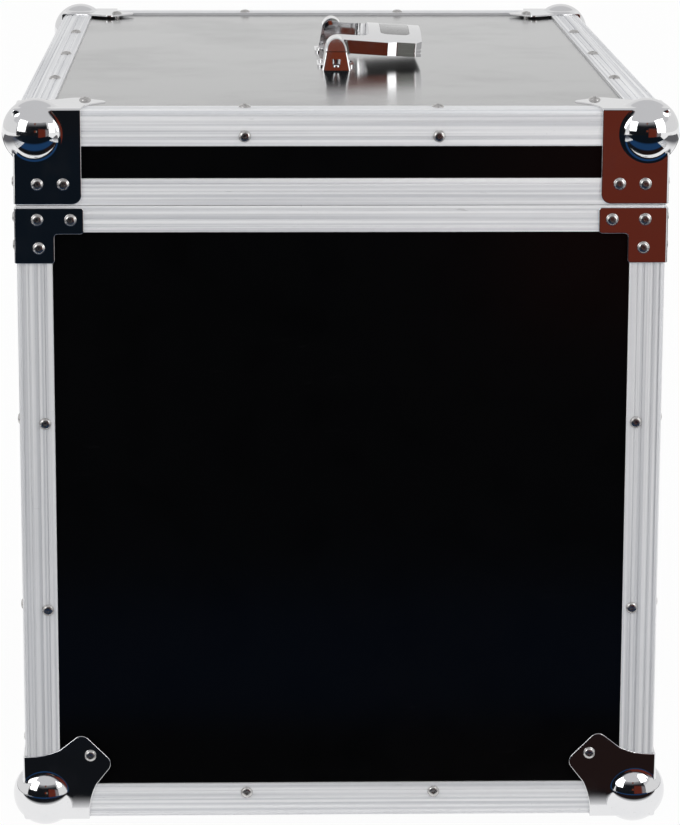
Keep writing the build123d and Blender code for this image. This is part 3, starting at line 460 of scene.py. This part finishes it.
chromeLook = {
    "colour": (0.80, 0.80, 0.81),
    "scratchColour": (0.4, 0.4, 0.4),
    "smudge": {"size": 46.0, "low": 0.47, "high": 0.78},
    "stain": {"size": 13.0, "low": 0.5, "high": 0.85},
    "scratches": 0.8,
    "scratchShare": 0.3,
    "scratchRoughness": 0.12,
    "rippleSize": 120.0,         # the faint orange peel of bright plate
    "rippleStrength": 0.2,
}
cornerLook = dict(chromeLook, tint=(0.72, 0.73, 0.76), roughness=(0.055, 0.13), ripple=0.00002)
handleLook = dict(chromeLook, tint=(0.68, 0.68, 0.70), roughness=(0.05, 0.15), ripple=0.00004)
# the grip's downward faces carry painted shade: matt black, not chrome
gripLook = dict(handleLook, underside=(0.004, 0.004, 0.004), undersideRoughness=0.9)
latchLook = dict(chromeLook, colour=(0.78, 0.78, 0.80), tint=(0.66, 0.67, 0.70),
                 roughness=(0.06, 0.17), ripple=0.00003)
undersideTilt = (-0.80, -0.90)   # how far down a face looks where the painted shade starts and where it is full


def chromeFinish(name, look):
    # bright plate: a mirror with hand marks, stains and hairlines
    material, tree, surface, place, facing = startFinish(name, metallic=1.0)
    smudge = placeGroup(tree, softSmudge, place, **look["smudge"])
    scratch = placeGroup(tree, hairlines, place, density=look["scratches"])
    stain = placeGroup(tree, softSmudge, place, **look["stain"])
    tinted = mixColours(tree, stain["Mask"], look["colour"], look["tint"])
    scored = multiply(tree, scratch["Mask"], look["scratchShare"])
    plated = mixColours(tree, scored, tinted, look["scratchColour"])
    rough = mapRange(tree, smudge["Mask"], (0.0, 1.0), look["roughness"])
    rough = mathNode(tree, "ADD", rough, multiply(tree, scratch["Mask"], look["scratchRoughness"]))
    if "underside" in look:
        # painted shade: faces that look down are matt black, which darkens the grip's underside and its
        # reflection in the lid; the object's own normal turns with the piece
        below = mapRange(tree, axesOf(tree, coordinates(tree, "Normal"))[2], undersideTilt)
        plated = mixColours(tree, below, plated, look["underside"])
        rough = mathNode(tree, "MAXIMUM", rough, multiply(tree, below, look["undersideRoughness"]))
        join(tree, mathNode(tree, "SUBTRACT", 1.0, below), surface.inputs["Metallic"])
    join(tree, plated, surface.inputs["Base Color"])
    join(tree, rough, surface.inputs["Roughness"])
    bump(tree, surface, noiseOf(tree, place, look["rippleSize"]), look["rippleStrength"], look["ripple"])
    return material


rivetLook = {
    "colour": (0.62, 0.61, 0.60),
    "dark": (0.38, 0.37, 0.36),
    "roughness": (0.24, 0.40),
    "scratchRoughness": 0.1,
    "smudge": {"size": 420.0, "low": 0.4, "high": 0.72},
    "scratches": 1.0,
    "dentSize": 900.0,
    "dentStrength": 0.3,
    "dentDepth": 0.00004,
}


def rivetFinish():
    # set rivets: darker and duller in patches, and dented a little by the tool
    look = rivetLook
    material, tree, surface, place, facing = startFinish("rivetSteel", metallic=1.0)
    smudge = placeGroup(tree, softSmudge, place, **look["smudge"])
    scratch = placeGroup(tree, hairlines, place, density=look["scratches"])
    join(tree, mixColours(tree, smudge["Mask"], look["colour"], look["dark"]), surface.inputs["Base Color"])
    rough = mapRange(tree, smudge["Mask"], (0.0, 1.0), look["roughness"])
    rough = mathNode(tree, "ADD", rough, multiply(tree, scratch["Mask"], look["scratchRoughness"]))
    join(tree, rough, surface.inputs["Roughness"])
    bump(tree, surface, noiseOf(tree, place, look["dentSize"]), look["dentStrength"], look["dentDepth"])
    return material


zincLook = {
    "colour": (0.62, 0.63, 0.66),
    "spangle": (0.57, 0.58, 0.61),
    "scratchColour": (0.8, 0.8, 0.8),
    "dustColour": (0.5, 0.48, 0.45),
    "roughness": (0.27, 0.36),
    "cloud": {"size": 60.0, "low": 0.38, "high": 0.7},
    "scratches": 1.0,
    "scratchShare": 0.5,
    "dust": 0.4,
    "rippleSize": 120.0,
    "rippleStrength": 0.06,
    "ripple": 0.00003,
}


def zincFinish():
    # bright zinc plate, a little cloudy
    look = zincLook
    material, tree, surface, place, facing = startFinish("zincPlate", metallic=1.0)
    cloud = placeGroup(tree, softSmudge, place, **look["cloud"])
    scratch = placeGroup(tree, hairlines, place, density=look["scratches"])
    dust = placeGroup(tree, fineDust, place, normal=facing, amount=look["dust"])
    plated = mixColours(tree, cloud["Mask"], look["colour"], look["spangle"])
    scored = multiply(tree, scratch["Mask"], look["scratchShare"])
    marked = mixColours(tree, scored, plated, look["scratchColour"])
    join(tree, mixColours(tree, dust["Mask"], marked, look["dustColour"]), surface.inputs["Base Color"])
    rough = mapRange(tree, cloud["Mask"], (0.0, 1.0), look["roughness"])
    join(tree, rough, surface.inputs["Roughness"])
    ripple = noiseOf(tree, place, look["rippleSize"], detail=1.0)
    bump(tree, surface, ripple, look["rippleStrength"], look["ripple"])
    return material


insertLook = {
    "colour": (0.006, 0.006, 0.006),
    "tone": (0.8, 1.3),
    "roughness": (0.24, 0.36),
    "coat": 1.0,
    "coatRoughness": 0.14,
    "grainSize": 1500.0,
    "grainStrength": 0.4,
    "grainDepth": 0.00002,
    "smudge": {"size": 70.0, "low": 0.4, "high": 0.7},
}


def insertFinish():
    # the moulded grip insert
    look = insertLook
    material, tree, surface, place, facing = startFinish("gripInsert")
    surface.inputs["Coat Weight"].default_value = look["coat"]
    surface.inputs["Coat Roughness"].default_value = look["coatRoughness"]
    grain = placeGroup(tree, pebble, place, size=look["grainSize"])
    smudge = placeGroup(tree, softSmudge, place, **look["smudge"])
    join(tree, mottled(tree, grain, look), surface.inputs["Base Color"])
    rough = mapRange(tree, smudge["Mask"], (0.0, 1.0), look["roughness"])
    join(tree, rough, surface.inputs["Roughness"])
    bump(tree, surface, grain["Height"], look["grainStrength"], look["grainDepth"])
    return material


foamLook = {
    "colour": (0.030, 0.030, 0.033),
    "pit": (0.008, 0.008, 0.009),
    "agedColour": (0.05, 0.048, 0.046),
    "ageRange": (0.4, 0.8),
    "aged": (0.0, 0.3),
    "dustColour": (0.2, 0.19, 0.18),
    "dust": 0.3,
    "roughness": 0.95,
    "sheen": 0.25,
    "sheenRoughness": 0.6,
    "cellSize": 1050.0,
    "cellRange": (0.25, 0.75),
    "cellStrength": 0.8,
    "cellDepth": 0.0005,
}


def foamFinish():
    # open cells: painted shade darkens the pits between paler struts
    look = foamLook
    material, tree, surface, place, facing = startFinish("liningFoam")
    surface.inputs["Roughness"].default_value = look["roughness"]
    surface.inputs["Sheen Weight"].default_value = look["sheen"]
    surface.inputs["Sheen Roughness"].default_value = look["sheenRoughness"]
    grain = placeGroup(tree, pebble, place, size=look["cellSize"])
    dust = placeGroup(tree, fineDust, place, normal=facing, amount=look["dust"])
    # painted shade: darker where the cells' height is low, in the pits
    strut = mapRange(tree, grain["Height"], look["cellRange"])
    cells = mixColours(tree, strut, look["pit"], look["colour"])
    age = mapRange(tree, grain["Tone"], look["ageRange"], look["aged"])
    faded = mixColours(tree, age, cells, look["agedColour"])
    join(tree, mixColours(tree, dust["Mask"], faded, look["dustColour"]), surface.inputs["Base Color"])
    bump(tree, surface, grain["Height"], look["cellStrength"], look["cellDepth"])
    return material


finishes = {
    "laminate": laminateFinish(),
    "edging": edgingFinish("edgingAlong", 0.0),
    "corner_plate": chromeFinish("cornerChrome", cornerLook),
    "rivet": rivetFinish(),
    "zinc_plate": zincFinish(),
    "handle_chrome": chromeFinish("handleChrome", handleLook),
    "latch_chrome": chromeFinish("latchChrome", latchLook),
    "grip_insert": insertFinish(),
    "foam": foamFinish(),
}
uprightEdging = edgingFinish("edgingUpright", 1.0)
gripChrome = chromeFinish("gripChrome", gripLook)
slotOf = {part["node"]: part["material_slot"] for part in frame["record"]["subparts"]}

for name, piece in nodes.items():
    finish = uprightEdging if "posts" in name else finishes[slotOf[name]]
    if name == "grip":
        finish = gripChrome
    for slot in piece.material_slots:
        slot.material = finish
print("finishes placed:", len(finishes) + 2)


# foam lining

foamSizes = {
    "round": 0.0028,             # edge rounding
    "roundSteps": (0.0, 0.12, 0.4, 0.75, 1.0),
    "step": 0.011,               # mesh step on flat faces
    "ripple": 0.00035,           # unevenness of a cut face
    "rippleSize": 55.0,          # ripples per metre
    "crown": 0.0006,             # how far a face bulges between its glued edges
    "crownReach": 0.02,
    "cratePitch": 0.030,         # peak to peak in the lid
    "crateDepth": 0.0064,
    "crateStep": 0.0038,
    "crateSharpness": 1.2,
    "crateBacking": 0.003,
    "crateRim": 0.006,           # the flat edge round the peaks
    "crateLift": 0.0003,         # so that no dimple leaves the box
    "dimple": 0.0003,
    "dimpleSize": 90.0,
    "wallFill": 0.9,
    "floorFill": 0.95,
    "lidFill": 0.8,
}


def blocksOf(name):
    # the lowest and highest corners of each separate block of a CAD node
    mesh = nodes[name].data
    parent = {}

    def root(key):
        while parent[key] != key:
            key = parent[key]
        return key

    keys = [tuple(round(c, 5) for c in vertex.co) for vertex in mesh.vertices]
    for key in keys:
        parent.setdefault(key, key)
    for polygon in mesh.polygons:
        first = root(keys[polygon.vertices[0]])
        for index in polygon.vertices[1:]:
            parent[root(keys[index])] = first
    groups = {}
    for key in parent:
        groups.setdefault(root(key), []).append(Vector(key))
    blocks = []
    for points in groups.values():
        low = Vector(min(p[axis] for p in points) for axis in range(3))
        high = Vector(max(p[axis] for p in points) for axis in range(3))
        blocks.append((low, high))
    return sorted(blocks, key=lambda block: tuple(block[0]))


def spread(low, high, step, radius):
    # places from low to high, closer together on the rounded ends
    ends = [share * radius for share in foamSizes["roundSteps"]]
    middle = high - low - 2 * radius
    count = max(1, round(middle / step))
    inner = [low + radius + middle * i / count for i in range(1, count)]
    return [low + e for e in ends] + inner + [high - e for e in reversed(ends)]


def foamBlock(name, low, high, step, shape):
    # a closed lattice surface on the block's box, then moved by shape(point, low, high)
    radius = foamSizes["round"]
    axes = [spread(low[axis], high[axis], step, radius) for axis in range(3)]
    points, index, faces = [], {}, []

    def at(i, j, k):
        key = (i, j, k)
        if key not in index:
            index[key] = len(points)
            points.append(Vector((axes[0][i], axes[1][j], axes[2][k])))
        return index[key]

    last = [len(values) - 1 for values in axes]
    for axis in range(3):
        u, v = [a for a in range(3) if a != axis]
        for side in (0, last[axis]):
            for i in range(last[u]):
                for j in range(last[v]):
                    corners = []
                    for di, dj in ((0, 0), (1, 0), (1, 1), (0, 1)):
                        place = [0, 0, 0]
                        place[axis], place[u], place[v] = side, i + di, j + dj
                        corners.append(at(*place))
                    outward = (side == 0) == (axis == 1)
                    faces.append(corners if outward else corners[::-1])
    core = [(low[a] + radius, high[a] - radius) for a in range(3)]
    moved = []
    for point in points:
        inner = Vector(min(max(point[a], core[a][0]), core[a][1]) for a in range(3))
        away = point - inner
        rounded = inner + away.normalized() * radius if away.length > radius else point
        moved.append(shape(rounded, low, high))
    mesh = bpy.data.meshes.new(name)
    mesh.from_pydata([tuple(p) for p in moved], [], faces)
    mesh.validate()
    for polygon in mesh.polygons:
        polygon.use_smooth = True
    piece = bpy.data.objects.new(name, mesh)
    bpy.context.scene.collection.objects.link(piece)
    mesh.materials.append(finishes["foam"])
    return piece


def thinAxis(low, high):
    sizes = [high[a] - low[a] for a in range(3)]
    return sizes.index(min(sizes))


def insideBox(point, low, high):
    return Vector(min(max(point[a], low[a]), high[a]) for a in range(3))


def sheetShape(point, low, high):
    # the cut face inside the case ripples a little and sinks towards its edges
    axis = thinAxis(low, high)
    middle = (low[axis] + high[axis]) / 2
    inward = 1.0 if (middle < 0 or axis == 2) else -1.0
    face = high[axis] if inward > 0 else low[axis]
    if abs(point[axis] - face) > foamSizes["round"]:
        return point
    across = [a for a in range(3) if a != axis]
    edge = min(min(point[a] - low[a], high[a] - point[a]) for a in across)
    sink = foamSizes["crown"] * math.exp(-edge / foamSizes["crownReach"])
    wave = 0.5 + 0.5 * noise.noise(point * foamSizes["rippleSize"])
    moved = point.copy()
    moved[axis] -= inward * (sink + foamSizes["ripple"] * wave)
    return insideBox(moved, low, high)


def crateShape(point, low, high):
    # convoluted foam: rounded peaks hang down from a thin backing
    backing = foamSizes["crateBacking"]
    share = (high.z - point.z - backing) / (high.z - low.z - backing)
    share = min(max(share, 0.0), 1.0)
    if share <= 0.0:
        return point
    turn = 2 * math.pi / foamSizes["cratePitch"]
    wave = 0.5 - 0.5 * math.cos(turn * point.x) * math.cos(turn * point.y)
    wave = wave ** foamSizes["crateSharpness"]
    rim = min(point.x - low.x, high.x - point.x, point.y - low.y, high.y - point.y)
    fade = min(max(rim / foamSizes["crateRim"], 0.0), 1.0)
    dimple = foamSizes["dimple"] * noise.noise(point * foamSizes["dimpleSize"])
    moved = point.copy()
    moved.z += share * (foamSizes["crateDepth"] * wave * fade + dimple + foamSizes["crateLift"])
    return insideBox(moved, low, high)


def layFoam(piece, node, body):
    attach(piece, body)
    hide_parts(node)


def addFoam():
    step = foamSizes["step"]
    for number, (low, high) in enumerate(blocksOf("wall_foam")):
        piece = foamBlock("wallFoam" + str(number + 1), low, high, step, sheetShape)
        layFoam(piece, "wall_foam", "case")
    low, high = blocksOf("floor_foam")[0]
    piece = foamBlock("floorFoam", low, high, step, sheetShape)
    layFoam(piece, "floor_foam", "case")
    low, high = blocksOf("lid_foam")[0]
    crate = foamBlock("lidFoam", low, high, foamSizes["crateStep"], crateShape)
    layFoam(crate, "lid_foam", "lid")


addFoam()
print("foam lining laid")


# studio

studio = {
    "fill": 0.87,                # the world's light on the object
    "fillSlope": 0.24,           # more of it from the right
    "floorReach": 12.0,
    "floorColour": (0.86, 0.86, 0.86),
    "floorGlow": 0.965,          # how far the floor's white hides the case's shadow
    "ceiling": (0.62, 0.62, 0.63),
    "ceilingX": (-5.0, 5.0),
    "ceilingY": (-5.0, 3.0),
    "white": (1.0, 1.0, 1.0),
    "foot": (0.75, 0.75, 0.76),
    "navy": (0.012, 0.045, 0.12),
    "deepNavy": (0.0045, 0.0075, 0.0120),
    "black": (0.0065, 0.0075, 0.0095),
    "umber": (0.0150, 0.0085, 0.0080),
    "brown": (0.120, 0.022, 0.013),
    "rust": (0.150, 0.030, 0.014),
    "greyGreen": (0.24, 0.25, 0.23),
    "cardGrey": (0.22, 0.21, 0.22),
    "grey": (0.13, 0.13, 0.14),
    "wallTop": (0.28, 0.28, 0.29),
}


def rayMaterial(name):
    material = newMaterial(name)
    tree = material.node_tree
    output = addNode(tree, "ShaderNodeOutputMaterial")
    return material, tree, output.inputs[0]


def emissive(tree, colour):
    node = addNode(tree, "ShaderNodeEmission")
    feed(tree, colour, node.inputs["Color"])
    return node.outputs[0]


def seenDirectly(tree):
    # 1 for rays from the camera, or mirrored or refracted on their way from it
    path = addNode(tree, "ShaderNodeLightPath")
    seen = mathNode(tree, "MAXIMUM", path.outputs["Is Camera Ray"], path.outputs["Is Glossy Ray"])
    return mathNode(tree, "MAXIMUM", seen, path.outputs["Is Transmission Ray"])


def stageMesh(name, points, faces, material):
    mesh = bpy.data.meshes.new(name)
    mesh.from_pydata(points, [], faces)
    mesh.materials.append(material)
    piece = bpy.data.objects.new(name, mesh)
    bpy.context.scene.collection.objects.link(piece)
    return piece


def reflectedMesh(name, points, faces, material):
    # a card, wall or ceiling that only shows in reflections
    piece = stageMesh(name, points, faces, material)
    piece.visible_camera = False
    piece.visible_diffuse = False
    piece.visible_shadow = False
    piece.visible_transmission = False
    piece.visible_volume_scatter = False


def flatCorners(across, along, height):
    # a level rectangle from two pairs of limits
    (x0, x1), (y0, y1) = across, along
    return [(x0, y0, height), (x1, y0, height), (x1, y1, height), (x0, y1, height)]


def addFloor():
    # white to the camera and in reflections, with the case's own soft shadow kept
    material, tree, target = rayMaterial("paleFloor")
    matt = addNode(tree, "ShaderNodeBsdfDiffuse")
    feed(tree, studio["floorColour"], matt.inputs["Color"])
    mixed = addNode(tree, "ShaderNodeMixShader")
    join(tree, multiply(tree, seenDirectly(tree), studio["floorGlow"]), mixed.inputs[0])
    join(tree, matt.outputs[0], mixed.inputs[1])
    join(tree, emissive(tree, studio["white"]), mixed.inputs[2])
    join(tree, mixed.outputs[0], target)
    reach = (-studio["floorReach"], studio["floorReach"])
    stageMesh("floor", flatCorners(reach, reach, 0), [(0, 1, 2, 3)], material)


wall = {
    "radius": 3.6,
    "height": 2.9,
    "span": (-152.0, -48.0),     # degrees, -90 is straight in front
    "panels": 32,
    "fadeStart": 1.7,            # where it starts to turn paler towards the ceiling
    "stripX": (-0.20, 0.34),     # a strip, rust on the left and grey-green on the right
    "stripTurn": (0.14, 0.19),
    "stripZ": (0.65, 1.05),
    "stripTop": (2.2, 2.5),      # it shows again above this
    "stripSoft": 0.05,
    "gapX": (1.9, 2.5),          # a low white gap on the right
    "gapTop": (0.28, 0.24),
    "gapSoft": 0.02,
}


def between(tree, value, limits, soft):
    # 1 between the limits, with soft edges
    low, high = limits
    rise = mapRange(tree, value, (low - soft, low + soft), smooth=True)
    return multiply(tree, rise, mapRange(tree, value, (high + soft, high - soft), smooth=True))


def addWall():
    # the dark room behind the camera
    material, tree, target = rayMaterial("darkRoom")
    axes = axesOf(tree, coordinates(tree, "Object"))
    across, up = axes[0], axes[2]
    fade = mapRange(tree, up, (wall["fadeStart"], wall["height"]), smooth=True)
    room = mixColours(tree, fade, studio["black"], studio["wallTop"])
    strip = mixColours(tree, mapRange(tree, across, wall["stripTurn"]), studio["rust"], studio["greyGreen"])
    low = between(tree, up, wall["stripZ"], wall["stripSoft"])
    shown = mathNode(tree, "ADD", low, mapRange(tree, up, wall["stripTop"]), clamp=True)
    shown = multiply(tree, between(tree, across, wall["stripX"], wall["stripSoft"]), shown)
    room = mixColours(tree, shown, room, strip)
    gap = between(tree, across, wall["gapX"], wall["gapSoft"])
    gap = multiply(tree, gap, mapRange(tree, up, wall["gapTop"]))
    join(tree, emissive(tree, mixColours(tree, gap, room, studio["white"])), target)

    start, end = (math.radians(a) for a in wall["span"])
    points, faces = [], []
    for i in range(wall["panels"] + 1):
        angle = start + (end - start) * i / wall["panels"]
        x, y = wall["radius"] * math.cos(angle), wall["radius"] * math.sin(angle)
        points += [(x, y, 0.0), (x, y, wall["height"])]
    for i in range(wall["panels"]):
        faces.append((2 * i, 2 * i + 2, 2 * i + 3, 2 * i + 1))
    reflectedMesh("darkWall", points, faces, material)


def addCeiling():
    material, tree, target = rayMaterial("paleCeiling")
    join(tree, emissive(tree, studio["ceiling"]), target)
    points = flatCorners(studio["ceilingX"], studio["ceilingY"], wall["height"])
    reflectedMesh("ceiling", points, [(0, 1, 2, 3)], material)


# places on the cards are in metres from the frame's origin, unless a note says otherwise
cards = {
    "lift": 0.001,               # above the floor
    "whiteFloor": 0.04,          # white floor between the case and the front card
    "frontSides": (-2.6, 2.6),
    "frontNear": (-1.5, 0.9),    # the ends of its edge at the case
    "frontCutBack": -1.0,        # where its left side starts
    "frontReach": 2.0,           # length of the tones below
    "frontTones": ((0.0, "foot"), (0.01, "black"), (0.075, "black"), (0.11, "navy"), (0.23, "navy"),
                   (0.31, "deepNavy")),
    "umberRise": (0.055, 0.075), # from the case's front
    "umberFall": (0.24, 0.18),   # the same
    "umberX": (0.0, 0.1),
    "brownX": (0.18, 1.9),
    "brownY": -2.0,
    "brownZ": (0.0, 1.05),
    "brownEdge": (0.18, 0.27),
    "brownToGrey": (1.05, 1.35),
    "brownTop": (0.75, 1.05),
    "sideSpan": (0.45, 2.6),     # from the case's sides and back
    "sideY": (-0.9, 1.5),
    "backX": (-1.2, 1.2),
    "sideFade": (0.5, 1.1),      # from the case's sides and back
}


def frontCardMaterial():
    # white at the case's foot, then black, navy and nearly black far off; brown-black to the right
    material, tree, target = rayMaterial("frontCard")
    axes = axesOf(tree, coordinates(tree, "Object"))
    away = mathNode(tree, "SUBTRACT", -halfDepth, axes[1])
    ramp = addNode(tree, "ShaderNodeValToRGB")
    elements = ramp.color_ramp.elements
    while len(elements) < len(cards["frontTones"]):
        elements.new(0.5)
    for element, (place, tone) in zip(elements, cards["frontTones"]):
        element.position = place
        element.color = (*studio[tone], 1.0)
    start = cards["whiteFloor"]
    join(tree, mapRange(tree, away, (start, start + cards["frontReach"])), ramp.inputs[0])
    rise = mapRange(tree, away, cards["umberRise"])
    band = multiply(tree, rise, mapRange(tree, away, cards["umberFall"]))
    right = mapRange(tree, axes[0], cards["umberX"], smooth=True)
    colour = mixColours(tree, multiply(tree, band, right), ramp.outputs[0], studio["umber"])
    join(tree, emissive(tree, colour), target)
    return material


def brownCardMaterial():
    # brown after a soft left edge, grey to the right, black towards the top
    material, tree, target = rayMaterial("brownCard")
    axes = axesOf(tree, coordinates(tree, "Object"))
    edge, turn = (mapRange(tree, axes[0], cards[key], smooth=True) for key in ("brownEdge", "brownToGrey"))
    colour = mixColours(tree, edge, studio["black"], studio["brown"])
    colour = mixColours(tree, turn, colour, studio["cardGrey"])
    top = mapRange(tree, axes[2], cards["brownTop"], smooth=True)
    join(tree, emissive(tree, mixColours(tree, top, colour, studio["black"])), target)
    return material


def sideCardMaterial():
    # a grey floor beside and behind the case, white near it
    material, tree, target = rayMaterial("sideCard")
    axes = axesOf(tree, coordinates(tree, "Object"))
    beside = mathNode(tree, "SUBTRACT", mathNode(tree, "ABSOLUTE", axes[0]), halfWidth)
    behind = mathNode(tree, "SUBTRACT", axes[1], halfDepth)
    away = mapRange(tree, mathNode(tree, "MAXIMUM", beside, behind), cards["sideFade"], smooth=True)
    join(tree, emissive(tree, mixColours(tree, away, studio["white"], studio["grey"])), target)
    return material


def addCards():
    lift = cards["lift"]
    near, far = -halfDepth - cards["whiteFloor"], -wall["radius"]
    (left, right), (nearLeft, nearRight) = cards["frontSides"], cards["frontNear"]
    points = [(left, far, lift), (right, far, lift), (nearRight, near, lift), (nearLeft, near, lift),
              (left, cards["frontCutBack"], lift)]
    reflectedMesh("frontCard", points, [(0, 1, 2, 3, 4)], frontCardMaterial())

    (x0, x1), (z0, z1), y = cards["brownX"], cards["brownZ"], cards["brownY"]
    points = [(x0, y, z0), (x1, y, z0), (x1, y, z1), (x0, y, z1)]
    reflectedMesh("brownCard", points, [(0, 1, 2, 3)], brownCardMaterial())

    grey = sideCardMaterial()
    start, end = cards["sideSpan"]
    for name, side in (("leftCard", -1), ("rightCard", 1)):
        across = sorted((side * (halfWidth + start), side * (halfWidth + end)))
        reflectedMesh(name, flatCorners(across, cards["sideY"], lift), [(0, 1, 2, 3)], grey)
    along = (halfDepth + start, halfDepth + end)
    reflectedMesh("backCard", flatCorners(cards["backX"], along, lift), [(0, 1, 2, 3)], grey)


softboxes = {
    "softboxLeft": {"place": (-1.24, -1.29, 1.07), "size": (0.84, 1.00), "strength": 2.7},
    "softboxRight": {"place": (0.57, -0.65, 0.64), "size": (0.32, 0.42), "strength": 2.6},
}
softboxAim = (0.0, -0.1, 0.30)


def addSoftboxes():
    for name, values in softboxes.items():
        lamp = bpy.data.lights.new(name, "AREA")
        lamp.shape = "RECTANGLE"
        width, height = values["size"]
        lamp.size, lamp.size_y = width, height
        lamp.energy = values["strength"] * math.pi * width * height
        box = bpy.data.objects.new(name, lamp)
        bpy.context.scene.collection.objects.link(box)
        box.location = values["place"]
        aim = Vector(softboxAim) - Vector(values["place"])
        box.rotation_euler = aim.to_track_quat("-Z", "Y").to_euler()
        box.visible_camera = False


def addWorld():
    # plain fill light, a little stronger from the right, and even where it is seen or mirrored
    world = bpy.data.worlds.new("studioWorld")
    bpy.context.scene.world = world
    world.use_nodes = True
    tree = world.node_tree
    tree.nodes.clear()
    sky = addNode(tree, "ShaderNodeBackground")
    slope = multiply(tree, axesOf(tree, coordinates(tree, "Generated"))[0], studio["fillSlope"])
    fill = mathNode(tree, "ADD", slope, studio["fill"])
    strength = mapRange(tree, seenDirectly(tree), (0.0, 1.0), (fill, 1.0))
    join(tree, strength, sky.inputs["Strength"])
    output = addNode(tree, "ShaderNodeOutputWorld")
    join(tree, sky.outputs[0], output.inputs[0])


viewpoint = {
    "place": (-0.0578, -2.4038, 0.7273),
    "angles": (1.56, 12.29, 0.166),  # degrees: to the right, downwards, rolled
    "lens": 150.3,
    "sensor": 36.0,
    "clip": (0.05, 60.0),
}


def addCamera():
    # the photograph's viewpoint
    yaw, pitch, roll = (math.radians(a) for a in viewpoint["angles"])
    level = math.cos(pitch)
    forward = Vector((math.sin(yaw) * level, math.cos(yaw) * level, -math.sin(pitch)))
    right = forward.cross(Vector((0, 0, 1))).normalized()
    up = right.cross(forward)
    across = right * math.cos(roll) + up * math.sin(roll)
    above = up * math.cos(roll) - right * math.sin(roll)
    lens = bpy.data.cameras.new("camera")
    lens.lens = viewpoint["lens"]
    lens.sensor_width = viewpoint["sensor"]
    lens.clip_start, lens.clip_end = viewpoint["clip"]
    camera = bpy.data.objects.new("camera", lens)
    bpy.context.scene.collection.objects.link(camera)
    turn = Matrix((across, above, -forward)).transposed().to_4x4()
    camera.matrix_world = Matrix.Translation(Vector(viewpoint["place"])) @ turn
    bpy.context.scene.camera = camera


addFloor()
addCards()
addWall()
addCeiling()
addSoftboxes()
addWorld()
addCamera()
bpy.context.scene.view_settings.view_transform = "Standard"
print("studio ready")
